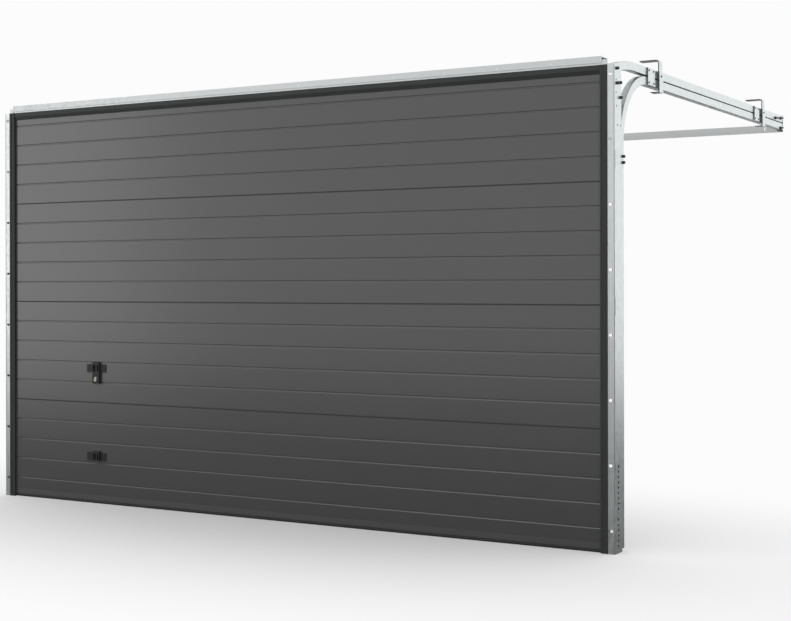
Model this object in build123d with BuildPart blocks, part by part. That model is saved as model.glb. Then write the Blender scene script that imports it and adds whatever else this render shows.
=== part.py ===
"""Electric sectional garage door: a ribbed four-panel curtain in a galvanised frame, with its
bent double tracks, rollers, hinges, side springs and ceiling drive.

Millimetres. X runs to the right seen from the street, Y into the garage and Z up. The origin is
the middle of the lintel's wall face, the flat metal that is bolted to the wall, and level() turns
a height above the floor into Z. Right-hand pieces are drawn and the left-hand ones mirrored.
"""

import os
from math import asin, atan2, degrees, sqrt

from build123d import *

# Curtain
CLEAR_WIDTH = 3222
PANEL_COUNT = 4
PANEL_HEIGHT = 500
PANEL_DEPTH = 40
PANEL_FACE = 10
PANEL_COVER = 12
JOINT_GAP = 1.5
RIB_PITCH = 100
RIB_WIDTH = 9
RIB_DEPTH = 2.5
TONGUE_RADIUS = 9
TONGUE_CLEARANCE = 0.8
CAP_GAUGE = 1.5
CAP_LEG = 63
CAP_END_GAP = 12
SHOE_HEIGHT = 26
SHOE_GAUGE = 1.8
SHOE_LIFT = 15
SEAL_WALL = 2.5

# Frame against the wall
POST_GAUGE = 2
POST_FACE = 31
POST_DEPTH = 75
POST_RISE = 3
POST_CORNER = 5
SEAL_WIDTH = 32
SEAL_GRIP = 23
SEAL_PROUD = 3
SEAL_STRIP = 13
SEAL_LIP = 3.5
SEAL_CLEARANCE = 0.3
WALL_SLOT_LENGTH = 18
WALL_SLOT_RADIUS = 5.5
WALL_SLOT_INSET = 18
WALL_SLOT_FIRST = 93
WALL_SLOT_PITCH = 262.5
WALL_SLOT_COUNT = 8
HOOK_HOLE_RADIUS = 4
HOOK_HOLE_FIRST = 30
HOOK_HOLE_PITCH = 21.4
HOOK_HOLE_COUNT = 16

LINTEL_RISE = 4.5
LINTEL_FACE = 27
LINTEL_LIP = 8.5
LINTEL_STEP = 4
LINTEL_GAUGE = 2
LINTEL_END = 8
LINTEL_SLOT_FIRST = -1350
LINTEL_SLOT_PITCH = 250
LINTEL_SLOT_COUNT = 12
LINTEL_SLOT_LENGTH = 12
LINTEL_SLOT_WIDTH = 5
TOP_SEAL_HEIGHT = 36
TOP_SEAL_BODY = 20
CORNER_PLATE_LAP = 28
CORNER_PLATE_DROP = 32
CORNER_PLATE_RISE = 12.5
CORNER_PLATE_GAP = 1

# Tracks
TRACK_WIDTH = 32
TRACK_HEIGHT = 37
TRACK_GAUGE = 2
TRACK_LIP = 7
TRACK_CORNER = 4
TRACK_AXIS = 89
TRACK_FOOT = 12
TRACK_JOINT = 1591
BEND_RADIUS = 290
BEND_START = 1655
RAIL_GAP = 3
RAIL_JOINT = 413
RAIL_SPLICE = 1970
RAIL_END = 2477
BUTT_GAP = 1
UPPER_FRONT = 27
UPPER_DIP_START = 230
UPPER_DIP_RADIUS = 740
BRACKET_GAUGE = 3
BRACKET_HEIGHT = 72
BRACKET_HEIGHTS = (330, 996, 1586)
BRACKET_SLOT = 4
SPLICE_LENGTH = 80
SPLICE_MARGIN = 2
SPLICE_GAUGE = 2
SPLICE_STAND = 6

HANGER_PLACES = (519, 2076)
HANGER_WIDTH = 48
HANGER_STAND = 12
HANGER_GAUGE = 3
HANGER_FOOT = 30
HANGER_DROP = 17
HANGER_HEAD = 4.5
HANGER_TAPER = 11.5
STRAP_WIDTH = 40
STRAP_GAUGE = 5
STRAP_RISE = 48
STRAP_REACH = 89
STRAP_BEND = 16
STRAP_TAIL = 60
CEILING_HOLE_RADIUS = 5.5
CEILING_HOLE_INSET = 30

BAR_HEIGHT = 40
BAR_STRIP = 25
BAR_STEP = 6
BAR_DEPTH = 25
BAR_GAUGE = 2
BAR_DROP = 8.5
BAR_MARGIN = 2
BAR_SLOT_X = 1573
BAR_SLOT_LENGTH = 19
BAR_SLOT_WIDTH = 6
END_PLATE = 3

# Running gear
ROLLER_RADIUS = 16
ROLLER_WIDTH = 12
AXLE_RADIUS = 5
AXLE_CLEARANCE = 0.1
AXLE_INNER = 50
SOCKET_RADIUS = 8
LEAF_WIDTH = 50
LEAF_GAUGE = 2.5
LEAF_LOWER = 62
LEAF_UPPER = 44
LEAF_GAP = 8
KNUCKLE_RADIUS = 6
CENTRE_HINGE_PITCH = 800
CENTRE_HINGE_COUNT = 3
BOTTOM_ROLLER_HEIGHT = 90
BOTTOM_BRACKET_TOP = 150
TOP_ROLLER_DEPTH = 60
TOP_CARRIER_DROP = 60
TOP_CARRIER_RISE = 30

# Side springs and their cables
SPRING_RADIUS = 10.5
SPRING_BORE = 7
SPRING_DEPTH = 36
SPRING_INSET = 14
SPRING_BOTTOM = 262
SPRING_TOP = 1480
SPRING_HOOK_ROW = 8
SPRING_ROD = 3
PULLEY_HEIGHT = 1895
PULLEY_GROOVE = 14
PULLEY_RIM = 18
PULLEY_WIDTH = 14
CABLE_RADIUS = 1.5
CABLE_CLEARANCE = 0.2
CABLE_PIN_HEIGHT = 60
CABLE_PIN_RADIUS = 4

# Handles and lock
HANDLE_X = -1065
HANDLE_HEIGHT = 671
GRIP_HEIGHT = 233
HANDLE_PLATE_LENGTH = 122
HANDLE_PLATE_HEIGHT = 40
HANDLE_PLATE_GAUGE = 4
HANDLE_BLOCK_LENGTH = 43
HANDLE_BLOCK_SHIFT = 3.5
HANDLE_BLOCK_ROUND = 4
GRIP_RISE = 28
SCOOP_HEIGHT = 31
SCOOP_DEPTH = 8
SCOOP_WIDTHS = (17, 9)
SCOOP_MARGIN = 4.5
HANDLE_STAND = 13
HANDLE_TOP = 703
LOCK_BOTTOM = 594.5
LOCK_HEIGHT = 615
CYLINDER_RADIUS = 8.5
CYLINDER_STAND = 4
BOLT_HEIGHT = 20
BOLT_GAUGE = 4
BOLT_DEPTH = 5
BOLT_CLEARANCE = 1

# Ceiling drive
BOOM_WIDTH = 34
BOOM_HEIGHT = 22
BOOM_GAUGE = 1.5
BOOM_SLOT = 12
BOOM_FRONT = 330
BOOM_BACK = 2760
BOOM_STRAP = 3
BOOM_STRAP_WIDTH = 30
BOOM_STRAP_HALF = 75
BOOM_STRAPS = (380, 1560, 2690)
HEAD_WIDTH = 190
HEAD_LENGTH = 320
HEAD_HEIGHT = 118
TROLLEY_LENGTH = 70
TROLLEY_Y = 435
TROLLEY_DROP = 30
ARM_WIDTH = 24
ARM_GAUGE = 4
ARM_PIN_DEPTH = 78
ARM_PIN_HEIGHT = 1900
ARM_PIN_RADIUS = 4

# Places worked out from the sizes above
half_clear = CLEAR_WIDTH / 2
panel_half = half_clear + PANEL_COVER
panel_back = PANEL_FACE + PANEL_DEPTH
cap_back = panel_back + CAP_GAUGE
cap_outer = panel_half + CAP_GAUGE
post_inner = half_clear + SEAL_WIDTH
post_outer = post_inner + POST_FACE
web_inner = post_outer - POST_GAUGE
flange_edge = post_inner - SEAL_GRIP
curtain_top = PANEL_COUNT * PANEL_HEIGHT
lintel_top = curtain_top + LINTEL_RISE
lintel_step = lintel_top - LINTEL_FACE
lintel_bottom = lintel_step - LINTEL_LIP
lintel_half = half_clear + LINTEL_END
post_top = lintel_bottom + POST_RISE
fixing_height = lintel_top - LINTEL_FACE / 2
track_x = web_inner - TRACK_WIDTH / 2
mouth_x = web_inner - TRACK_WIDTH
lower_axis = BEND_START + BEND_RADIUS
upper_axis = lower_axis + TRACK_HEIGHT + RAIL_GAP
rails_bottom = lower_axis - TRACK_HEIGHT / 2
rails_top = upper_axis + TRACK_HEIGHT / 2
bend_end = TRACK_AXIS + BEND_RADIUS
track_front = TRACK_AXIS - TRACK_HEIGHT / 2
ceiling = rails_top + STRAP_RISE
joint_heights = [PANEL_HEIGHT * i for i in range(1, PANEL_COUNT)]
spring_x = web_inner - SPRING_INSET
pulley_depth = SPRING_DEPTH + PULLEY_GROOVE
cable_depth = pulley_depth + PULLEY_GROOVE
roller_in = track_x - ROLLER_WIDTH / 2 + 1
socket_out = cap_outer - 8
socket_in = socket_out - LEAF_WIDTH + 2 * LEAF_GAUGE
dip_run = UPPER_DIP_START - UPPER_FRONT
dip_turn = degrees(asin(dip_run / UPPER_DIP_RADIUS))


def level(height):
    """Z of a height above the floor, in the frame that starts on the lintel."""
    return height - fixing_height


def dip(depth):
    """Height of the upper rail's axis where it curves down behind the lintel."""
    run = max(UPPER_DIP_START - depth, 0)
    return upper_axis - UPPER_DIP_RADIUS + sqrt(UPPER_DIP_RADIUS**2 - run**2)


def across(y):
    """Plane at depth y with X to the right and Z up; a negative amount extrudes into the garage."""
    return Plane.XZ.offset(-y)


top_roller_height = dip(TOP_ROLLER_DEPTH)


def draw_track():
    """C of a track about its own centre: web to the right, mouth with lips to the left."""
    mouth = TRACK_HEIGHT - 2 * TRACK_GAUGE - 2 * TRACK_LIP
    RectangleRounded(TRACK_WIDTH, TRACK_HEIGHT, TRACK_CORNER)
    RectangleRounded(
        TRACK_WIDTH - 2 * TRACK_GAUGE,
        TRACK_HEIGHT - 2 * TRACK_GAUGE,
        TRACK_CORNER - TRACK_GAUGE,
        mode=Mode.SUBTRACT,
    )
    with Locations((-TRACK_WIDTH / 2, 0)):
        Rectangle(3 * TRACK_GAUGE, mouth, mode=Mode.SUBTRACT)


def draw_box(x0, x1, y0, y1, mode=Mode.ADD):
    """Rectangle between two corners, on the sketch's own plane."""
    with Locations(((x0 + x1) / 2, (y0 + y1) / 2)):
        Rectangle(x1 - x0, y1 - y0, mode=mode)


def box(x0, x1, y0, y1, z0, z1, mode=Mode.ADD):
    """Plain block between two corners, with its heights above the floor."""
    with Locations(((x0 + x1) / 2, (y0 + y1) / 2, level((z0 + z1) / 2))):
        Box(x1 - x0, y1 - y0, z1 - z0, mode=mode)


def rod(x0, x1, y, height, radius, mode=Mode.ADD):
    """Round bar along X."""
    with Locations(((x0 + x1) / 2, y, level(height))):
        Cylinder(radius, x1 - x0, rotation=(0, 90, 0), mode=mode)


# Posts: a folded angle, its face on the wall and its web beside the tracks
with BuildPart() as post_right:
    with BuildSketch(Plane.XY.offset(level(0))) as angle:
        draw_box(flange_edge, post_outer, 0, POST_GAUGE)
        draw_box(web_inner, post_outer, 0, POST_DEPTH)
        corner = angle.vertices().sort_by_distance((post_outer, 0))[0]
        fillet(corner, POST_CORNER)
    extrude(amount=post_top)
    with BuildSketch(across(0)):
        for i in range(WALL_SLOT_COUNT):
            with Locations((post_outer - WALL_SLOT_INSET, level(WALL_SLOT_FIRST + i * WALL_SLOT_PITCH))):
                SlotOverall(WALL_SLOT_LENGTH, 2 * WALL_SLOT_RADIUS)
    extrude(amount=-POST_GAUGE, mode=Mode.SUBTRACT)
    for i in range(HOOK_HOLE_COUNT):
        height = HOOK_HOLE_FIRST + i * HOOK_HOLE_PITCH
        rod(web_inner, post_outer, SPRING_DEPTH, height, HOOK_HOLE_RADIUS, mode=Mode.SUBTRACT)
    for height in BRACKET_HEIGHTS:
        low, high = height - BRACKET_HEIGHT / 2, height + BRACKET_HEIGHT / 2
        box(web_inner, post_outer, BRACKET_SLOT, 2 * BRACKET_SLOT, low, high, mode=Mode.SUBTRACT)

with BuildPart() as post_left:
    mirror(post_right.part, about=Plane.YZ)
    box(
        -post_outer,
        -web_inner,
        panel_back + BOLT_DEPTH - BOLT_CLEARANCE,
        panel_back + BOLT_DEPTH + BOLT_GAUGE + BOLT_CLEARANCE,
        HANDLE_HEIGHT - BOLT_HEIGHT / 2 - BOLT_CLEARANCE,
        HANDLE_HEIGHT + BOLT_HEIGHT / 2 + BOLT_CLEARANCE,
        mode=Mode.SUBTRACT,
    )

# Side seals: a strip over the post's face that clips round its edge and bears on the panels
with BuildPart() as side_seal_right:
    with BuildSketch(Plane.XY.offset(level(0))):
        groove = post_inner - SEAL_STRIP
        with BuildLine():
            Polyline(
                (post_inner, 0),
                (post_inner, -SEAL_PROUD),
                (groove, -SEAL_PROUD),
                (groove, -1),
                (flange_edge, -1),
                (flange_edge - 1.5, -SEAL_PROUD),
                (half_clear, -1),
                (half_clear, PANEL_FACE - SEAL_CLEARANCE),
                (half_clear + SEAL_LIP, PANEL_FACE - SEAL_CLEARANCE),
                (half_clear + SEAL_LIP, 2 * POST_GAUGE),
                (groove, 2 * POST_GAUGE),
                (groove, POST_GAUGE),
                (flange_edge, POST_GAUGE),
                (flange_edge, 0),
                close=True,
            )
        make_face()
    extrude(amount=lintel_bottom)

with BuildPart() as side_seal_left:
    mirror(side_seal_right.part, about=Plane.YZ)

# Lintel: a stepped cover with vertical slots along its face
with BuildPart() as lintel:
    with BuildSketch(Plane.YZ):
        back = PANEL_FACE - 2 * SEAL_CLEARANCE
        draw_box(0, LINTEL_GAUGE, level(lintel_step), level(lintel_top))
        draw_box(0, back, level(lintel_top) - LINTEL_GAUGE, level(lintel_top))
        draw_box(0, LINTEL_STEP + LINTEL_GAUGE, level(lintel_step), level(lintel_step) + LINTEL_GAUGE)
        draw_box(
            LINTEL_STEP, LINTEL_STEP + LINTEL_GAUGE, level(lintel_bottom), level(lintel_step) + LINTEL_GAUGE
        )
    extrude(amount=lintel_half, both=True)
    with BuildSketch(across(0)):
        for i in range(LINTEL_SLOT_COUNT):
            with Locations((LINTEL_SLOT_FIRST + i * LINTEL_SLOT_PITCH, -LINTEL_SLOT_WIDTH)):
                SlotOverall(LINTEL_SLOT_LENGTH, LINTEL_SLOT_WIDTH, rotation=90)
    extrude(amount=-LINTEL_GAUGE, mode=Mode.SUBTRACT)

# Corner plates: they lap the lintel's face and the posts' faces from behind
with BuildPart() as corner_plates:
    with BuildSketch(across(POST_GAUGE)):
        post_lap = post_inner - SEAL_STRIP + 2 * CORNER_PLATE_GAP
        low, high = level(lintel_step) + LINTEL_GAUGE, level(lintel_step + CORNER_PLATE_RISE)
        draw_box(half_clear - CORNER_PLATE_LAP, post_inner, low, high)
        draw_box(lintel_half + CORNER_PLATE_GAP, post_inner, level(lintel_bottom), low)
        draw_box(
            post_lap,
            web_inner - POST_CORNER,
            level(lintel_bottom - CORNER_PLATE_DROP),
            level(lintel_bottom),
        )
    extrude(amount=-POST_GAUGE)
    mirror(about=Plane.YZ)

# Top seal: under the lintel, its lip on the top panel
with BuildPart() as top_seal:
    with BuildSketch(Plane.YZ):
        body = lintel_bottom - TOP_SEAL_BODY
        low = lintel_bottom - TOP_SEAL_HEIGHT
        with BuildLine():
            Polyline(
                (2, level(lintel_bottom)),
                (8, level(lintel_bottom)),
                (8, level(body)),
                (PANEL_FACE - SEAL_CLEARANCE, level(low)),
                (PANEL_FACE - SEAL_CLEARANCE - SEAL_WALL, level(low)),
                (2, level(body)),
                close=True,
            )
        make_face()
    extrude(amount=half_clear - SEAL_CLEARANCE, both=True)

# Vertical tracks
with BuildPart() as vertical_track_right:
    with BuildSketch(Plane((track_x, TRACK_AXIS, level(TRACK_FOOT)))):
        draw_track()
    extrude(amount=TRACK_JOINT - BUTT_GAP / 2 - TRACK_FOOT)

with BuildPart() as vertical_track_left:
    mirror(vertical_track_right.part, about=Plane.YZ)

# Bends: up from the vertical track and round to the lower rail
with BuildPart() as track_bend_right:
    with BuildLine(Plane.YZ.offset(track_x)) as bend_path:
        rise = Line((TRACK_AXIS, level(TRACK_JOINT) + BUTT_GAP / 2), (TRACK_AXIS, level(BEND_START)))
        turn = CenterArc((bend_end, level(BEND_START)), BEND_RADIUS, 180, -90)
        Line(turn @ 1, (RAIL_JOINT - BUTT_GAP / 2, level(lower_axis)))
    with BuildSketch(Plane((track_x, TRACK_AXIS, level(TRACK_JOINT) + BUTT_GAP / 2))):
        draw_track()
    sweep(path=bend_path.wires()[0])

with BuildPart() as track_bend_left:
    mirror(track_bend_right.part, about=Plane.YZ)

# Lower rails: two lengths, butted at the rear splice
with BuildPart() as lower_rail_right:
    for start, end in ((RAIL_JOINT, RAIL_SPLICE), (RAIL_SPLICE, RAIL_END)):
        with BuildSketch(Plane((track_x, start + BUTT_GAP / 2, level(lower_axis)), x_dir=(1, 0, 0), z_dir=(0, 1, 0))):
            draw_track()
        extrude(amount=end - start - (BUTT_GAP if end < RAIL_END else BUTT_GAP / 2))

with BuildPart() as lower_rail_left:
    mirror(lower_rail_right.part, about=Plane.YZ)

# Upper rails: for the top rollers, dipping behind the lintel at their front end
with BuildPart() as upper_rail_right:
    with BuildLine(Plane.YZ.offset(track_x)) as upper_path:
        flat = Line((RAIL_SPLICE - BUTT_GAP / 2, level(upper_axis)), (UPPER_DIP_START, level(upper_axis)))
        CenterArc((UPPER_DIP_START, level(upper_axis) - UPPER_DIP_RADIUS), UPPER_DIP_RADIUS, 90, dip_turn)
    with BuildSketch(
        Plane((track_x, RAIL_SPLICE - BUTT_GAP / 2, level(upper_axis)), x_dir=(1, 0, 0), z_dir=(0, -1, 0))
    ):
        draw_track()
    sweep(path=upper_path.wires()[0])
    with BuildSketch(
        Plane((track_x, RAIL_SPLICE + BUTT_GAP / 2, level(upper_axis)), x_dir=(1, 0, 0), z_dir=(0, 1, 0))
    ):
        draw_track()
    extrude(amount=RAIL_END - RAIL_SPLICE - BUTT_GAP / 2)

with BuildPart() as upper_rail_left:
    mirror(upper_rail_right.part, about=Plane.YZ)

# Angle brackets between the posts' webs and the vertical tracks
with BuildPart() as track_brackets:
    for height in BRACKET_HEIGHTS:
        low, high = height - BRACKET_HEIGHT / 2, height + BRACKET_HEIGHT / 2
        box(web_inner - BRACKET_GAUGE, web_inner, BRACKET_SLOT, track_front, low, high)
        box(mouth_x + BRACKET_GAUGE, web_inner, track_front - BRACKET_GAUGE, track_front, low, high)
    mirror(about=Plane.YZ)

# Splice plates: shallow channels on the outer side of the rails, over their butts
with BuildPart() as splice_plates:
    low, high = rails_bottom + SPLICE_MARGIN, rails_top - SPLICE_MARGIN
    proud = web_inner + SPLICE_STAND
    for place in (RAIL_JOINT, RAIL_SPLICE):
        front, rear = place - SPLICE_LENGTH / 2, place + SPLICE_LENGTH / 2
        box(proud - SPLICE_GAUGE, proud, front, rear, low, high)
        box(web_inner, proud, front, front + SPLICE_GAUGE, low, high)
        box(web_inner, proud, rear - SPLICE_GAUGE, rear, low, high)
    mirror(about=Plane.YZ)

# Ceiling hangers: a channel beside both rails with a foot under them, and a bent strap up to the ceiling
with BuildPart() as rail_hangers:
    stand = web_inner + HANGER_STAND
    outer = stand - HANGER_GAUGE
    inner, tip = outer - STRAP_GAUGE, outer - STRAP_REACH
    foot, head = rails_bottom - HANGER_DROP, rails_top - HANGER_HEAD
    for place in HANGER_PLACES:
        front, rear = place - HANGER_WIDTH / 2, place + HANGER_WIDTH / 2
        box(outer, stand, front, rear, foot, head)
        box(web_inner - HANGER_FOOT, stand, front, rear, foot, foot + HANGER_GAUGE)
        for side in (front, rear - HANGER_GAUGE):
            with BuildSketch(across(side)) as wall:
                with BuildLine():
                    Polyline(
                        (web_inner, level(head)),
                        (stand, level(head)),
                        (stand, level(foot)),
                        (web_inner, level(rails_bottom + HANGER_TAPER)),
                        close=True,
                    )
                make_face()
            extrude(wall.sketch, amount=-HANGER_GAUGE)
        with BuildSketch(across(place - STRAP_WIDTH / 2)) as strap:
            with BuildLine():
                Polyline(
                    (inner, level(rails_top - STRAP_TAIL)),
                    (outer, level(rails_top - STRAP_TAIL)),
                    (outer, level(ceiling)),
                    (tip, level(ceiling)),
                    (tip, level(ceiling) - STRAP_GAUGE),
                    (inner, level(ceiling) - STRAP_GAUGE),
                    close=True,
                )
            make_face()
            corners = strap.vertices()
            fillet(corners.sort_by_distance((outer, level(ceiling)))[0], STRAP_BEND)
            corners = strap.vertices()
            fillet(corners.sort_by_distance((inner, level(ceiling) - STRAP_GAUGE))[0], STRAP_BEND - STRAP_GAUGE)
        extrude(strap.sketch, amount=-STRAP_WIDTH)
        with Locations((tip + CEILING_HOLE_INSET, place, level(ceiling) - STRAP_GAUGE / 2)):
            Cylinder(CEILING_HOLE_RADIUS, 2 * STRAP_GAUGE, mode=Mode.SUBTRACT)
    mirror(about=Plane.YZ)

# Rear cross bar: a stepped channel on the plates at the rails' rear ends
bar_low = rails_bottom - BAR_DROP
with BuildPart() as rear_cross_bar:
    bar_front, bar_base = RAIL_END + END_PLATE, level(bar_low)
    with BuildSketch(Plane.YZ):
        step, bar_rear = bar_front + BAR_STEP, bar_front + BAR_DEPTH
        draw_box(bar_front, bar_front + BAR_GAUGE, bar_base, bar_base + BAR_STRIP)
        draw_box(bar_front, step + BAR_GAUGE, bar_base + BAR_STRIP - BAR_GAUGE, bar_base + BAR_STRIP)
        draw_box(step, step + BAR_GAUGE, bar_base + BAR_STRIP - BAR_GAUGE, bar_base + BAR_HEIGHT)
        draw_box(bar_front, bar_rear, bar_base, bar_base + BAR_GAUGE)
        draw_box(step, bar_rear, bar_base + BAR_HEIGHT - BAR_GAUGE, bar_base + BAR_HEIGHT)
    extrude(amount=web_inner - BAR_MARGIN, both=True)
    with BuildSketch(across(bar_front)) as slots:
        with Locations((-BAR_SLOT_X, bar_base + BAR_HEIGHT / 2), (BAR_SLOT_X, bar_base + BAR_HEIGHT / 2)):
            SlotOverall(BAR_SLOT_LENGTH, BAR_SLOT_WIDTH, rotation=90)
    extrude(slots.sketch, amount=-BAR_DEPTH, mode=Mode.SUBTRACT)

# Plates on the rear ends of the rails, down to the cross bar's foot
with BuildPart() as rail_end_plates:
    box(mouth_x, post_outer, RAIL_END, RAIL_END + END_PLATE, bar_low, rails_top + BAR_MARGIN)
    mirror(about=Plane.YZ)


def make_panel(index):
    """One ribbed sandwich panel, from a bed that fits the tongue below it to its own tongue."""
    low = index * PANEL_HEIGHT + (SHOE_LIFT + SHOE_GAUGE if index == 0 else JOINT_GAP)
    high = (index + 1) * PANEL_HEIGHT
    with BuildPart() as panel:
        with BuildSketch(Plane.YZ):
            draw_box(PANEL_FACE, panel_back, level(low), level(high))
            ribs = [index * PANEL_HEIGHT + i * RIB_PITCH for i in range(1, int(PANEL_HEIGHT / RIB_PITCH))]
            for rib in ribs:
                with Locations((PANEL_FACE, level(rib))):
                    Polygon(
                        (0, RIB_WIDTH / 2),
                        (RIB_DEPTH, RIB_WIDTH / 6),
                        (RIB_DEPTH, -RIB_WIDTH / 6),
                        (0, -RIB_WIDTH / 2),
                        align=None,
                        mode=Mode.SUBTRACT,
                    )
            middle = PANEL_FACE + PANEL_DEPTH / 2
            if index > 0:
                with Locations((middle, level(index * PANEL_HEIGHT) - 1)):
                    Circle(TONGUE_RADIUS + TONGUE_CLEARANCE, mode=Mode.SUBTRACT)
            if index < PANEL_COUNT - 1:
                with Locations((middle, level(high) - 1)):
                    Circle(TONGUE_RADIUS)
            if index == 0:
                for face in (PANEL_FACE, panel_back - SHOE_GAUGE):
                    draw_box(face, face + SHOE_GAUGE, level(low), level(SHOE_LIFT + SHOE_HEIGHT), mode=Mode.SUBTRACT)
        extrude(amount=panel_half, both=True)
    return panel.part


panels = [make_panel(i) for i in range(PANEL_COUNT)]

# Folded caps on the panels' ends, their legs under the hinges
with BuildPart() as end_caps:
    for i in range(PANEL_COUNT):
        low = i * PANEL_HEIGHT + (SHOE_LIFT + SHOE_HEIGHT + 1 if i == 0 else CAP_END_GAP)
        high = (i + 1) * PANEL_HEIGHT - CAP_END_GAP
        box(panel_half, cap_outer, PANEL_FACE + 1, cap_back, low, high)
        box(cap_outer - CAP_LEG, cap_outer, panel_back, cap_back, low, high)
    mirror(about=Plane.YZ)

# Bottom shoe and floor seal
with BuildPart() as bottom_shoe:
    with BuildSketch(Plane.YZ):
        draw_box(PANEL_FACE, panel_back, level(SHOE_LIFT), level(SHOE_LIFT + SHOE_HEIGHT))
        draw_box(
            PANEL_FACE + SHOE_GAUGE,
            panel_back - SHOE_GAUGE,
            level(SHOE_LIFT) + SHOE_GAUGE,
            level(SHOE_LIFT + SHOE_HEIGHT),
            mode=Mode.SUBTRACT,
        )
    extrude(amount=panel_half, both=True)

with BuildPart() as floor_seal:
    with BuildSketch(Plane.YZ):
        draw_box(PANEL_FACE + 1, panel_back - 1, level(SHOE_LIFT) - SEAL_WALL, level(SHOE_LIFT))
        with Locations((PANEL_FACE + PANEL_DEPTH / 2, level(SHOE_LIFT / 2))):
            SlotOverall(PANEL_DEPTH - 4, SHOE_LIFT)
            SlotOverall(PANEL_DEPTH - 4 - 2 * SEAL_WALL, SHOE_LIFT - 2 * SEAL_WALL, mode=Mode.SUBTRACT)
    extrude(amount=panel_half, both=True)


def hinge_leaves(x0, x1, back, joint):
    """Two leaves and their knuckle over a panel joint, lying on the surface at depth back."""
    face = back + LEAF_GAUGE
    box(x0, x1, back, face, joint - LEAF_GAP - LEAF_LOWER, joint - LEAF_GAP)
    box(x0, x1, back, face, joint + LEAF_GAP, joint + LEAF_GAP + LEAF_UPPER)
    box(x0, x1, face - 1, face + LEAF_GAUGE, joint - LEAF_GAP - 6, joint + LEAF_GAP + 6)
    rod(x0, x1, face + KNUCKLE_RADIUS - 1, joint, KNUCKLE_RADIUS)


def roller_socket(back, low, high, axis_depth, axis_height):
    """Two tapered cheeks and a tube that hold a roller's axle off the surface at depth back."""
    for x in (socket_in - LEAF_GAUGE, socket_out):
        with BuildSketch(Plane.YZ.offset(x)) as cheek:
            with BuildLine():
                Polyline(
                    (back, level(low)),
                    (axis_depth, level(axis_height) - SOCKET_RADIUS),
                    (axis_depth, level(axis_height) + SOCKET_RADIUS),
                    (back, level(high)),
                    close=True,
                )
            make_face()
            with Locations((axis_depth, level(axis_height))):
                Circle(SOCKET_RADIUS)
        extrude(cheek.sketch, amount=LEAF_GAUGE)
    rod(socket_in - LEAF_GAUGE, socket_out + LEAF_GAUGE, axis_depth, axis_height, SOCKET_RADIUS)
    rod(
        socket_in - LEAF_GAUGE,
        socket_out + LEAF_GAUGE,
        axis_depth,
        axis_height,
        AXLE_RADIUS + AXLE_CLEARANCE,
        mode=Mode.SUBTRACT,
    )


# Side hinges with the sockets of the rollers
with BuildPart() as side_hinges:
    for joint in joint_heights:
        hinge_leaves(socket_in - LEAF_GAUGE, socket_out + LEAF_GAUGE, cap_back, joint)
        roller_socket(cap_back, joint - LEAF_GAP - LEAF_LOWER, joint - LEAF_GAP, TRACK_AXIS, joint)
    mirror(about=Plane.YZ)

with BuildPart() as centre_hinges:
    first = -(CENTRE_HINGE_COUNT - 1) / 2 * CENTRE_HINGE_PITCH
    for i in range(CENTRE_HINGE_COUNT):
        x = first + i * CENTRE_HINGE_PITCH
        for joint in joint_heights:
            hinge_leaves(x - LEAF_WIDTH / 2, x + LEAF_WIDTH / 2, panel_back, joint)

# Bottom brackets: the lowest rollers and the pins of the lift cables
with BuildPart() as bottom_brackets:
    foot = SHOE_LIFT + SHOE_HEIGHT + 1
    box(socket_in - LEAF_GAUGE, socket_out + LEAF_GAUGE, cap_back, cap_back + LEAF_GAUGE, foot, BOTTOM_BRACKET_TOP)
    roller_socket(cap_back, foot, BOTTOM_BRACKET_TOP, TRACK_AXIS, BOTTOM_ROLLER_HEIGHT)
    rod(socket_out, spring_x + 6, cable_depth, CABLE_PIN_HEIGHT, CABLE_PIN_RADIUS)
    mirror(about=Plane.YZ)

with BuildPart() as top_roller_carriers:
    low, high = top_roller_height - TOP_CARRIER_DROP, top_roller_height + TOP_CARRIER_RISE
    box(socket_in - LEAF_GAUGE, socket_out + LEAF_GAUGE, cap_back, cap_back + LEAF_GAUGE, low, high)
    roller_socket(cap_back, low + 20, high, TOP_ROLLER_DEPTH, top_roller_height)
    mirror(about=Plane.YZ)

# Rollers with their axles
roller_places = [(TRACK_AXIS, BOTTOM_ROLLER_HEIGHT)]
roller_places += [(TRACK_AXIS, joint) for joint in joint_heights]
roller_places += [(TOP_ROLLER_DEPTH, top_roller_height)]
with BuildPart() as rollers:
    for depth, height in roller_places:
        rod(socket_out - AXLE_INNER, roller_in + ROLLER_WIDTH, depth, height, AXLE_RADIUS)
        rod(roller_in, roller_in + ROLLER_WIDTH, depth, height, ROLLER_RADIUS)
    mirror(about=Plane.YZ)

# Side springs, hooked into a hole of the post's web below and drawn by the cable above
hook_height = HOOK_HOLE_FIRST + SPRING_HOOK_ROW * HOOK_HOLE_PITCH
with BuildPart() as springs:
    with Locations((spring_x, SPRING_DEPTH, level((SPRING_BOTTOM + SPRING_TOP) / 2))):
        Cylinder(SPRING_RADIUS, SPRING_TOP - SPRING_BOTTOM)
        Cylinder(SPRING_BORE, SPRING_TOP - SPRING_BOTTOM - 20, mode=Mode.SUBTRACT)
    with Locations((spring_x, SPRING_DEPTH, level((hook_height + SPRING_BOTTOM) / 2))):
        Cylinder(SPRING_ROD, SPRING_BOTTOM - hook_height + 2 * SPRING_ROD)
    rod(spring_x, post_outer, SPRING_DEPTH, hook_height, SPRING_ROD)
    mirror(about=Plane.YZ)

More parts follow.
